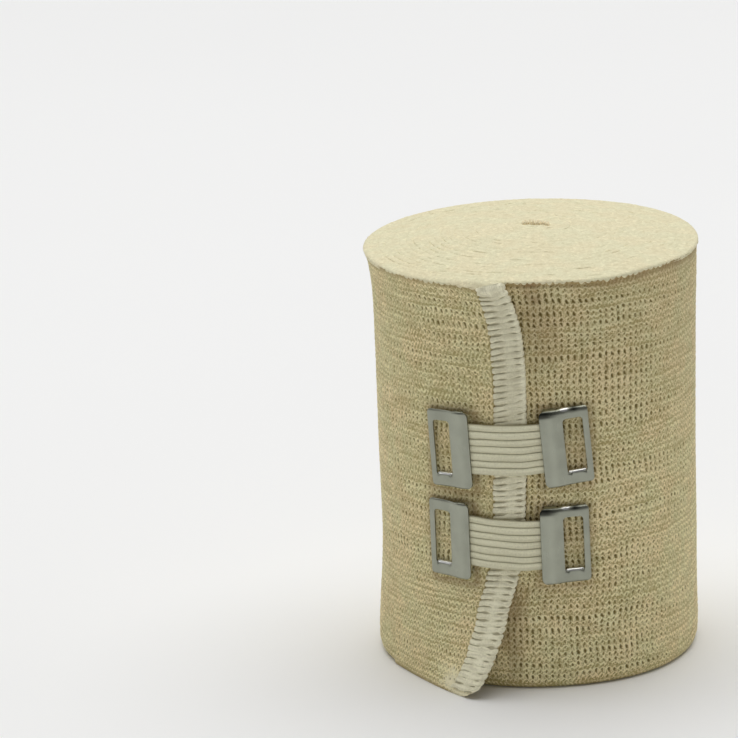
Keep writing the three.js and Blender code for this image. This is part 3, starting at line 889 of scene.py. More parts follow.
def from_plates(angle, z):
    """For each plate, its side and how far a place on the cloth is outside it, sideways and upwards."""
    for seat in [seat for seats in CLIPS.values() for seat in seats]:
        around = np.abs(wrap_angle(angle - seat.angle)) * math.radians(section_radius(seat.z))
        yield seat.side, around - PLATE_WIDTH / 2, np.abs(z - seat.z + PRESSED_DROP) - PLATE_HEIGHT / 2


def in_plates(angle, z):
    """1 behind the plates, where their windows show cloth that their hooks stretch open."""
    within = 0
    for _, aside, above in from_plates(angle, z):
        within = np.maximum(within, smooth_step(-np.maximum(aside, above), 0, 1.5))
    return within


def clip_shade(angle, z):
    """Painted shadow on the cloth around the clips, most of all below their plates."""
    shade = 0
    for side, aside, above in from_plates(angle, z):
        strength, lighter_within = (0.62, 0.9) if side < 0 else (0.4, 0.45)
        away = np.hypot(np.maximum(aside, 0), np.maximum(above, 0))
        within = (away == 0) * smooth_step(-aside, 0, 1.2)
        shade = np.maximum(shade, strength * hill(away, 0, 1.6) * (1 - lighter_within * within))
    return shade


def row_height(share, top):
    """The height of a row, from its share of the cloth's width. The last rows follow the upper edge."""
    return share * RIM_MEAN + (top - RIM_MEAN) * smooth_step(share, 0.9, 1.0)


COLUMNS_AROUND, CLOTH_ROWS = 155, 72
CELL_COLUMNS, CELL_ROWS = 4, 4
EDGE_BEAD = 0.4


def wound_at(column):
    """The wound angle of a column of the outer turn."""
    return column / COLUMNS_AROUND * 360 - 360


class BuildOuterTurn(bpy.types.Operator):
    """Build the outer turn of cloth with its weave"""

    bl_idname = "bandage.outer_turn"
    bl_label = "Outer turn"

    PARTS = (("outer_turn_front", 0, 78), ("outer_turn_back", 78, COLUMNS_AROUND))
    BEAD_TURNS = (20, 45, 70, 90, 115, 145)
    # Where the weave is open or closed: in degrees from the front, or heights
    OPEN_AT, OPEN_WIDTH = 6, 26
    CLOSED_SIDES = (28, 62)
    BOUND_HEIGHTS, BOUND_RIGHT = (95.5, 98.2), (5, 30)
    LOW_HEIGHTS = (52, 22)
    # Where shade is painted on the cloth, and where it has brown spots: the middle and width in degrees, and
    # heights
    UPPER_PATCH, UPPER_HEIGHTS = (-1, 9), (62, 90)
    LOWER_PATCH_PAST_CUT, LOWER_PATCH_WIDTH, LOWER_HEIGHTS = 3, 8, (18, 34)
    SPOTS, SPOT_HEIGHTS = (-2, 7), (90, 96)
    RIGHT_HEIGHTS, RIGHT_FROM, RIGHT_UNTIL = (40, 88), (-8, 12), (100, 150)

    def execute(self, context):
        for name, first, last in self.PARTS:
            piece = self.build(context, name, first, last)
            settle(piece, "bandage_roll")
        return {"FINISHED"}

    def build(self, context, name, first, last):
        column = np.linspace(first, last, (last - first) * CELL_COLUMNS + 1)
        row = np.linspace(0, CLOTH_ROWS, CLOTH_ROWS * CELL_ROWS + 1)
        row, column = np.meshgrid(row, column, indexing="ij")
        woven = rim_height(ROOT_ANGLE + wound_at(column[-1])) - EDGE_BEAD

        # The face, from the floor to the bead at its upper edge
        stray_column, stray_row = strayed(column, row, CLOTH_ROWS)
        wound = wound_at(stray_column)
        z = row_height(stray_row / CLOTH_ROWS, woven)
        angle = wrap_angle(ROOT_ANGLE + wound)
        openness = openness_of(column, row, self.bias(angle, z))
        light = lightness_of(column, row)
        relief = cell_relief(column, row, openness, light)
        below = woven - z
        edge = smooth_step(z, 0.2, 2.0) * smooth_step(below, 0.4, 1.1)
        groove = 0.25 * hill(below, 0.5, 0.5)
        face = lap_point(wound, z, relief * edge - groove - foot_inset(z))
        under_rim = hill(below, 0.35, 0.8 + 1.1 * smooth_step(angle, 0, 30))
        shade = 0.66 * under_rim * (0.65 + 0.35 * smooth_random(column / 0.9, 0.5, 21))
        shade = shade + self.patches(angle, column, row, z)

        # The bead over the upper edge
        turn_by = np.radians(self.BEAD_TURNS)[:, None]
        bead_z = woven[None] + EDGE_BEAD * np.sin(turn_by)
        bead = lap_point(wound[-1][None], bead_z, EDGE_BEAD * np.cos(turn_by) - EDGE_BEAD)
        extra = np.ones((len(turn_by), face.shape[1]))
        uv = np.concatenate([weave_map(column, row), flat_map(extra * column[-1], extra * CLOTH_ROWS)])
        fields = {
            OPEN_FIELD: np.concatenate([openness * edge, 0.0 * extra]),
            SHADE_FIELD: np.clip(np.concatenate([shade, 0.5 * extra]), 0, 1),
            LIGHT_FIELD: np.concatenate([light * edge, 0.2 * extra]),
            CALM_FIELD: np.concatenate([calm_at(angle), 0.0 * extra]),
        }
        back_wound = wound_at(column[:1, ::CELL_COLUMNS])
        back_z = np.linspace(0, 1, CLOTH_ROWS // 2)[:, None] * (woven[None, ::CELL_COLUMNS] - 0.1)
        back = lap_point(back_wound, back_z, -CLOTH - foot_inset(back_z) * 0.6)
        back_uv = np.zeros((*back.shape[:2], 2))
        front = np.concatenate([face, bead])
        return closed_sheet(name, front, back, cloth_of(context), uv, back_uv, fields)

    def bias(self, angle, z):
        """The weave is open beside the cut edge, and closes towards the sides, the rim and the floor."""
        near = 0.12 * hill(angle, self.OPEN_AT, self.OPEN_WIDTH) + 0.1 * in_plates(angle, z)
        bound = smooth_step(z, *self.BOUND_HEIGHTS) * (0.2 + 0.5 * smooth_step(angle, *self.BOUND_RIGHT))
        low = 0.12 * smooth_step(z, *self.LOW_HEIGHTS)
        return near - 0.36 * smooth_step(np.abs(angle), *self.CLOSED_SIDES) - low - bound

    def patches(self, angle, column, row, z):
        """Painted shade: browner just right of the cut edge up high, the peeled end's shadow low down, brown
        spots under the rim, a little over the whole upper right where less light falls, and round the clips.
        """
        upper = hill(angle, *self.UPPER_PATCH) * smooth_step(z, *self.UPPER_HEIGHTS)
        lower = hill(angle, end_cut(z) + self.LOWER_PATCH_PAST_CUT, self.LOWER_PATCH_WIDTH)
        lower = lower * (1 - smooth_step(z, *self.LOWER_HEIGHTS))
        cloudy = np.clip(0.5 + 1.2 * smooth_random(column / 3, row / 5, 21), 0, 1)
        spots = hill(angle, *self.SPOTS) * smooth_step(z, *self.SPOT_HEIGHTS)
        spots = spots * np.clip(smooth_random(column * 0.9, row * 0.9, 25), 0, 1)
        right = smooth_step(angle, *self.RIGHT_FROM) * (1 - smooth_step(angle, *self.RIGHT_UNTIL))
        right = right * smooth_step(z, *self.RIGHT_HEIGHTS)
        return (0.4 * upper + 0.5 * lower) * cloudy + 0.5 * spots + 0.16 * right + clip_shade(angle, z)


class BuildInnerTurns(bpy.types.Operator):
    """Build the inner turns: one wound form, with the edges of its turns above and below"""

    bl_idname = "bandage.inner_turns"
    bl_label = "Inner turns"

    ALONG = 0.39
    CROWN = 0.3
    # Across one turn, in shares of its thickness
    ACROSS, HIDDEN = (0.0, 0.13, 0.32, 0.5, 0.68, 0.87, 1.0), (0.9, 0.1)
    INNERMOST = 0.9
    # Where the turns show apart: the middle and width in degrees, and radii
    APART, APART_RADII = (-60, 40), (14, 26)
    TEETH, TOOTH = 11, 0.21
    # Height and inset of the inner form's sides, then its shares of the radius and depth under the top
    FORM = ((1.2, 3.0), (3.0, 1.4), (30.0, 1.4), (60.0, 1.4), (90.0, 1.4), (97.0, 1.6), (98.4, 2.4))
    FORM_TOP, FORM_DEPTH = (0.75, 0.5, 0.25), 1.4

    def execute(self, context):
        for piece in (
            self.form(context),
            self.edges(context, "turn_edges_top", self.ALONG, True),
            self.edges(context, "turn_edges_base", 4 * self.ALONG, False),
            self.core(),
        ):
            settle(piece, "bandage_roll")
        return {"FINISHED"}

    def form(self, context):
        """What fills the roll behind the edges that show."""
        wound = np.linspace(-720, -360, 97)
        rings = [lap_point(wound + 360, z, -inward) for z, inward in self.FORM]
        for share in self.FORM_TOP:
            rings.append(top_point(wound + 360, TOP_RADIUS * (1 - share), -self.FORM_DEPTH))
        for ring in rings:
            ring += (ring[0] - ring[-1]) * np.linspace(0, 1, len(ring))[:, None]
        points = np.concatenate([ring[:-1] for ring in rings])
        index = np.arange(len(points)).reshape(len(rings), -1)
        turned = np.roll(index, -1, axis=1)
        sides = np.stack([index[:-1], turned[:-1], turned[1:], index[1:]], axis=-1).reshape(-1, 4)
        lower, upper = points[index[0]].mean(0), points[index[-1]].mean(0) + [0, 0, 0.3]
        points = np.concatenate([points, [lower, upper]])
        foot, head = len(points) - 2, len(points) - 1
        caps = [np.stack([index[0] * 0 + foot, turned[0], index[0]], axis=-1)]
        caps.append(np.stack([index[-1] * 0 + head, index[-1], turned[-1]], axis=-1))
        uv = np.zeros((len(points), 2))
        return add_piece("inner_turns", points, [sides, *caps], cloth_of(context), uv)

    def edges(self, context, name, step, above):
        """The edges of all the turns, as one spiral ribbon of loops."""
        loop = context.scene.bandage_cloth.loop / MM
        wound = [-(TOP_RADIUS - self.INNERMOST) / LAP * 360]
        while wound[-1] < 0:
            radius_now = TOP_RADIUS + LAP * wound[-1] / 360
            wound.append(wound[-1] + math.degrees(step / radius_now))
        wound = np.array(wound)
        wound[-1] = 0
        radius = TOP_RADIUS + LAP * wound / 360
        along = np.concatenate([[0], np.cumsum(np.radians(np.diff(wound)) * radius[1:])])
        loops = along[:, None] / loop
        across = np.array(self.ACROSS)[None]
        hump = np.abs(np.sin(math.pi * across)) ** 0.6
        which = np.floor(loops)
        bump = np.abs(np.sin(math.pi * (loops + 0.3 * across)))
        tall = steady_random(which, 0, 31)
        tuft = 0.12 * smooth_random(loops * 1.3, across * 2 + wound[:, None] / 97, 33)
        slow = 0.1 * smooth_random(loops / 6, wound[:, None] / 360, 35)
        raised = hump * (self.CROWN + 0.15 * bump * tall + tuft + slow) - 0.3
        # The turns show apart only towards the front, on the left
        angle = wrap_angle(ROOT_ANGLE + wound)[:, None]
        closed = 0.985 - 0.38 * hill(angle, *self.APART) * smooth_step(radius[:, None], *self.APART_RADII)
        raised = raised + closed * (1 - hump) * self.CROWN
        sway = 0.16 * smooth_random(loops / 2.2, across * 0 + 0.5, 37)
        inward = (across + sway * (hump > 0.1)) * LAP
        at, under = (top_point, -1.2) if above else (self.base_point, 1.3)
        shown = at(wound[:, None], inward, raised if above else 0.35 - 0.35 * hump)
        hidden = at(wound[:, None], np.array(self.HIDDEN)[None] * LAP, under)
        ribbon = np.concatenate([shown, hidden], axis=1)[None]
        return add_tubes(name, ribbon, selvedge_of(context), loop_map(loops, ribbon))

    def base_point(self, wound, inward, z):
        radius = TOP_RADIUS + LAP * wound / 360 - inward
        share = np.clip(radius / TOP_RADIUS, 0, 1)
        inset = 1.2 + 1.5 * smooth_step(share, 0.9, 1.0)
        angle = ROOT_ANGLE + wound
        outline = radius - inset * share + unevenness(angle) * share
        centre_x = CORE_X + (section_shift(0) - CORE_X) * share
        return polar(angle, outline, z, centre_x, CORE_Y * (1 - share))

    def core(self):
        """The fold at the heart of the winding, with the loops of its edge like the teeth of a comb."""
        middle = np.array([CORE_X - 0.2, CORE_Y - 0.6, RIM_MEAN + DOME - 0.3])
        share = np.linspace(-1, 1, self.TEETH)
        along = np.stack([share * 3.0, -0.7 * share, -0.25 * share**2], axis=1)
        bend = np.linspace(0, math.pi, 7)
        ring = np.radians(np.arange(6) * 60)
        points = []
        for tooth in range(self.TEETH):
            tall = 0.9 + 0.5 * steady_random(tooth, 0, 41)
            lean = 0.16 * (steady_random(tooth, 0, 43) - 0.5)
            arch = np.stack([lean * np.sin(bend), -1.2 * np.cos(bend), tall * np.sin(bend)], axis=1)
            for step in range(len(bend)):
                radial = np.array([0, -math.cos(bend[step]), math.sin(bend[step])])
                offset = np.outer(np.cos(ring), [1.0, 0, 0]) + np.outer(np.sin(ring), radial)
                points.append(middle + along[tooth] + arch[step] + self.TOOTH * offset)
        points = np.array(points).reshape(self.TEETH, len(bend), len(ring), 3)
        material = selvedge_finish("core_loops", CORE_LOOP, CORE_SHADOW)
        return add_tubes("core_fold", points, material, np.zeros(points.shape[:3] + (2,)))


def loop_map(loops, points):
    """Where each point of a looped edge is: its loop, and its share of the way round the section."""
    return flat_map(loops, np.linspace(0, 1, points.shape[2])[None])


class BuildRimLoops(bpy.types.Operator):
    """Build the looped edge of the outer turn and of the loose end"""

    bl_idname = "bandage.rim_loops"
    bl_label = "Rim loops"

    # Across the edge: outwards from the face, and up from the rim
    SECTION = (
        (-2.0, 0.2),
        (-1.3, 0.28),
        (-0.75, 0.28),
        (-0.3, 0.18),
        (0.0, 0.02),
        (0.16, -0.2),
        (0.2, -0.42),
        (0.12, -0.62),
        (-0.1, -0.76),
        (-0.6, -0.7),
        (-1.6, -0.55),
    )
    ALONG = 0.36

    def execute(self, context):
        steps = int(2 * math.pi * TOP_RADIUS / self.ALONG)
        turn = self.build(context, "rim_loops", np.linspace(-360, 0, steps))
        settle(turn, "bandage_roll")
        top = math.radians(float(end_cut(RIM_MEAN)) - ROOT_ANGLE) * TOP_RADIUS - 0.4
        end = self.build(context, "end_loops", np.degrees(np.arange(0, top, self.ALONG) / TOP_RADIUS))
        settle(end, "loose_end")
        return {"FINISHED"}

    def build(self, context, name, wound):
        loops = (np.radians(wound) * TOP_RADIUS / (context.scene.bandage_cloth.loop / MM))[:, None]
        out, up = np.array(self.SECTION).T
        which = np.floor(loops)
        tuft = np.abs(np.sin(math.pi * loops)) ** 0.6 * (0.35 + 0.9 * steady_random(which, 0, 51))
        tuft = tuft + 0.2 * smooth_random(loops * 2.6, 0.5, 53) + 0.25 * smooth_random(loops / 5, 0.5, 55)
        lower = np.minimum(up, 0) * (0.05 + 1.05 * tuft)
        raised = np.maximum(up, 0) * (0.8 + 0.3 * tuft) + 0.05 * smooth_random(loops * 2.1, out * 2, 57)
        out = out + 0.12 * (tuft - 0.6) * (up < 0)
        angle = ROOT_ANGLE + wound[:, None]
        if name == "end_loops":
            # The loose end's upper edge lies lower than the rim, and its loops reach up to the rim
            fall = end_drop(angle) * smooth_step(angle - ROOT_ANGLE, 0, 10)
            drop = np.where(np.arange(len(up)) > 7, fall, fall * smooth_step(out, -1.6, 0.0))
            cut, peel_from, peel = (curve(RIM_MEAN) for curve in (end_cut, end_peel_from, end_peel))
            peeled = peel * np.maximum(0, (angle - peel_from) / (cut - peel_from)) ** 2
            away = smooth_step(wound[-1] - wound[:, None], 0, 7)
            out = out + peeled * smooth_step(out, -2.0, 0.0) * away - 0.5 * (1 - away)
            lower = lower * away
            raised = raised - drop * away - 0.35 * (1 - away)
        points = lap_point(wound[:, None], rim_height(angle) + lower + raised, out)[None]
        return add_tubes(name, points, selvedge_of(context), loop_map(loops, points))


class BuildLooseEnd(bpy.types.Operator):
    """Build the loose end that lies on the roll and peels away at the bottom"""

    bl_idname = "bandage.loose_end"
    bl_label = "Loose end"

    COLUMNS = 26
    # The paler corner beside the stitches: back from the cut edge, and heights
    PALE_BACK, PALE_HEIGHTS = (4, 7), (2, 9)

    def execute(self, context):
        column = np.linspace(0, self.COLUMNS, self.COLUMNS * CELL_COLUMNS + 1)
        row = np.linspace(0, CLOTH_ROWS, CLOTH_ROWS * CELL_ROWS + 1)
        row, column = np.meshgrid(row, column, indexing="ij")
        stray_column, stray_row = strayed(column + COLUMNS_AROUND, row, CLOTH_ROWS)
        ease = 1 - smooth_step(column, self.COLUMNS - 6, self.COLUMNS - 2)
        across = (column + (stray_column - COLUMNS_AROUND - column) * ease) / self.COLUMNS
        z, back = self.places(stray_row / CLOTH_ROWS, across)

        into = smooth_step(column, 0, 5)
        angle = end_cut(z) - np.degrees(back / section_radius(z))
        bias = 0.34 * in_plates(angle, z) - 0.24 - 0.12 * into
        openness = openness_of(column + COLUMNS_AROUND, row, bias)
        # Low down the arched threads stand higher and are painted lighter, standing in for the light from
        # the floor
        light = 0.84 * lightness_of(column + COLUMNS_AROUND, row) + 0.25 * (1 - smooth_step(z, 20, 50))
        relief = (1 - 0.25 * into) * cell_relief(column, row, openness, light)
        under_band = smooth_step(back, BAND_WIDTH - 0.4, BAND_WIDTH + 0.6)
        below = end_top(back) - z
        edge = smooth_step(z, 0.3, 1.6) * smooth_step(below, 0.4, 1.1)
        outward = relief * edge * under_band - 0.36 * (1 - under_band) * smooth_step(z, 0.8, 2.4)
        front = end_point(z, back, outward - thin_at(z))
        # Painted shade below the upper edge, along the bottom edge, and under the stitched band, where the
        # cloth shows only in the slits
        shade = 0.45 * hill(below, 0.5, 0.8) + 0.3 * hill(z, 0, 1.0)
        sewn = 0.25 * (1 - under_band) * smooth_step(z, 1.0, 2.4)
        pale = hill(back, *self.PALE_BACK) * (1 - smooth_step(z, *self.PALE_HEIGHTS))
        shade = shade * (1 - 0.8 * pale)
        fields = {
            OPEN_FIELD: openness * edge * under_band,
            SHADE_FIELD: np.clip(shade + sewn + clip_shade(angle, z), 0, 1),
            LIGHT_FIELD: np.minimum(light, 1) * edge * under_band + 1.9 * pale,
            CALM_FIELD: np.maximum(calm_at(angle), 0.22 * (1 - pale)),
        }
        uv = weave_map(column, row)

        across, up = np.linspace(0, 1, self.COLUMNS + 1), np.linspace(0, 1, CLOTH_ROWS // 2 + 1)
        up, across = np.meshgrid(up, across, indexing="ij")
        z, back = self.places(up, across)
        behind = end_point(z, back, thin_at(z) - CLOTH)
        back_uv = flat_map(across * self.COLUMNS, up * CLOTH_ROWS)
        piece = closed_sheet("loose_end_cloth", front, behind, cloth_of(context), uv, back_uv, fields)
        settle(piece, "loose_end")
        return {"FINISHED"}

    def places(self, up, across):
        """Height and distance back from the cut edge, from shares of the way up and across."""
        root = ROOT_ANGLE + math.degrees(SEAM_GAP / TOP_RADIUS)
        full = back_at(up * RIM_MEAN, root)
        back = full * (1 - across)
        z = row_height(up, end_top(back))
        return z, np.maximum(back, corner_inset(z) * (across > 0.8))


def thin_at(z):
    """The cloth's lower edge is pressed thin."""
    return 0.35 * (1 - smooth_step(z, 0.0, 0.7))


class BuildStitches(bpy.types.Operator):
    """Build the overlock stitches that bind the cut edge"""

    bl_idname = "bandage.stitches"
    bl_label = "Stitches"

    # Round the edge: back from the cut edge, outwards from the cloth, half height and half thickness
    ROUTE = (
        (7.1, -0.2, 0.42, 0.16),
        (6.9, 0.0, 0.6, 0.24),
        (6.2, 0.1, 0.65, 0.26),
        (5.2, 0.14, 0.6, 0.26),
        (4.4, 0.15, 0.61, 0.25),
        (3.8, 0.14, 0.74, 0.24),
        (3.2, 0.13, 0.92, 0.21),
        (2.4, 0.12, 0.94, 0.2),
        (1.8, 0.12, 0.74, 0.23),
        (1.1, 0.1, 0.55, 0.26),
        (0.5, 0.08, 0.58, 0.27),
        (-0.05, -0.02, 0.8, 0.26),
        (-0.38, -0.4, 0.74, 0.22),
        (-0.45, -0.85, 0.5, 0.2),
        (-0.35, -1.15, 0.4, 0.16),
    )
    STEPS = 34
    CORNERS = 10
    # Round the bed under them: back from the cut edge, and outwards from the cloth
    BED = (
        (6.7, -0.3),
        (6.6, -0.08),
        (4.9, -0.02),
        (4.1, 0.14),
        (3.3, 0.2),
        (2.5, 0.18),
        (1.9, 0.06),
        (1.1, -0.04),
        (0.3, -0.03),
        (-0.2, -0.1),
        (-0.35, -0.3),
        (-0.3, -0.45),
        (0.3, -0.2),
        (2.4, -0.17),
        (6.6, -0.33),
    )
    BED_FRONT = 10
    FOLD_FROM = 3.6
    # Heights over which the threads lie closer, slope more and are darker
    CLOSE_HEIGHTS, SLOPE_HEIGHTS, DUSTY_HEIGHTS = (38, 62), (25, 85), (34, 72)

    def execute(self, context):
        sewing = context.scene.bandage_sewing
        material = thread_finish("sewing_thread", tuple(sewing.pale), tuple(sewing.dusk), 7.0, 0.4)
        settle(self.threads(context, material), "overlock_edge")
        settle(self.bed(material), "overlock_edge")
        return {"FINISHED"}

    def threads(self, context, material):
        pitch = context.scene.bandage_sewing.pitch / MM
        top = float(end_top(0.0)) - BAND_BELOW_TOP
        count = int(round((top - STITCHES_FROM) / pitch))
        stitch = np.arange(count)
        height = STITCHES_FROM + (stitch + 0.5) * (top - STITCHES_FROM) / count
        height = height + 0.2 * (steady_random(stitch, 0, 71) - 0.5)
        route = catmull_rom(self.ROUTE, self.STEPS)
        flat = route[:, :2]
        tangent = unit(np.gradient(flat, axis=0))
        normal = np.stack([-tangent[:, 1], tangent[:, 0]], axis=1)
        ring = np.radians(np.arange(self.CORNERS) * 360 / self.CORNERS)
        # From here on an array has the stitches, the steps of the route and the corners of the thread
        stitch, height = stitch[:, None, None], height[:, None, None]
        inward, outward = flat[None, :, :1], flat[None, :, 1:]
        fat = 0.85 + 0.28 * steady_random(stitch, 0, 73)
        wavy = 1 + 0.14 * smooth_random(inward * 1.4, stitch * 3.7, 75)
        # Above the clips the threads lie closer towards the cut edge
        close = smooth_step(height, *self.CLOSE_HEIGHTS) * (1 - smooth_step(inward, 1.6, 3.2))
        low = 0.08 * (1 - smooth_step(height, 4, 16))
        half_height = (route[None, :, 2:3] + 0.16 * close + low) * fat * wavy
        half_thick = route[None, :, 3:4] * (0.9 + 0.2 * steady_random(stitch, 0, 77))
        start = 0.35 * (steady_random(stitch, 0, 79) - 0.5) * smooth_step(inward, 5.0, 7.0)
        back = inward + start + half_thick * normal[:, :1][None] * np.sin(ring)
        out = outward + half_thick * normal[:, 1:][None] * np.sin(ring)
        slope = 0.05 + 0.17 * smooth_step(height, *self.SLOPE_HEIGHTS)
        slope = slope + 0.09 * (steady_random(stitch, 0, 81) - 0.5)
        rise = slope * (BAND_WIDTH / 2 - np.clip(inward, -0.5, 8))
        sag = 0.24 * smooth_random(inward / 2.6, stitch * 0.41, 83)
        z = height + rise + sag + half_height * np.cos(ring)
        back = back + corner_inset(np.maximum(z, 0))
        z = self.dipped(z, back, top)
        points = end_point(z, back, out)
        uv = flat_map(np.linspace(0, 8, self.STEPS)[None, :, None], ring / (2 * math.pi) + stitch * 3.0)
        # The threads are painted lighter on their outer side and in shade on their inner side; they are
        # darker from the middle heights up, except at the cut edge, and so lighter towards the lower corner
        clean = 1 - 0.24 * smooth_step(height, *self.DUSTY_HEIGHTS) * smooth_step(inward, 0.1, 0.9)
        patchy = 1 - 0.18 * np.clip(smooth_random(inward / 1.4, stitch * 0.7, 89), 0, 1)
        crest = smooth_step(-np.sin(ring), -0.5, 0.6) * clean * patchy
        return add_tubes("overlock_stitches", points, material, uv, {LIGHT_FIELD: crest})

    def dipped(self, z, back, top):
        """The band's upper end follows the edge of the cloth down."""
        share = smooth_step(z, BAND_DIPS_FROM, top)
        return z - np.maximum(0, float(end_top(0.0)) - end_top(np.maximum(back, 0))) * share

    def bed(self, material):
        """The crossed threads under the middle of the stitches, which end in a smooth fold at the top."""
        top = float(end_top(0.0)) - BAND_BELOW_TOP + 0.35
        z = np.linspace(STITCHES_FROM, top, 181)[None, :, None]
        back, out = np.array(self.BED).T
        fold = smooth_step(z, top - self.FOLD_FROM, top - 1.2)
        front = np.arange(len(back)) < self.BED_FRONT
        ridges = 0.1 * np.sin(z * 5.2 + back * 0.9) + 0.06 * smooth_random(z * 1.3, back / 3, 87)
        lip = smooth_step(z, top - 0.5, top)
        out = out + front * (fold * (np.maximum(0.42 - out, 0) + ridges) * (1 - 0.9 * lip) - 0.3 * lip)
        z = z + fold * 0.7 * (1 - np.clip(back, 0, 6.9) / 6.9)
        # Painted shade: the bed is dusky where it shows in the slits between the threads, lighter from 2 to
        # 4 mm back, where it fills in the middle of the band, and lit at the fold
        shown = np.maximum(fold, np.where((back < 4.0) & (back > 2.0), 0.75, 0.3))
        back = back + corner_inset(z)
        z = self.dipped(z, back, top)
        points = end_point(z, back, out)
        uv = flat_map(z, np.linspace(0, 3, back.shape[-1]))
        shown = np.broadcast_to(shown, points.shape[:-1])
        return add_tubes("overlock_bed", points, material, uv, {LIGHT_FIELD: shown})


def seat_matrix(seat):
    """Where a plate sits: turned to its angle, set on the cloth, tilted and leaned."""
    wound = seat.angle - ROOT_ANGLE
    out = section_radius(seat.z) + LAP * wound / 360 + unevenness(seat.angle) + seat.seat
    centre = Matrix.Translation((float(section_shift(seat.z)), 0, seat.z))
    turned = centre @ Matrix.Rotation(math.radians(seat.angle), 4, "Z")
    lean = Matrix.Rotation(math.radians(-seat.lean * seat.side), 4, "Z")
    tilt = Matrix.Rotation(math.radians(-seat.tilt), 4, "Y")
    return turned @ Matrix.Translation((0, -float(out), 0)) @ lean @ tilt


def through(matrix, points):
    return points @ np.array(matrix.to_3x3()).T + np.array(matrix.translation)


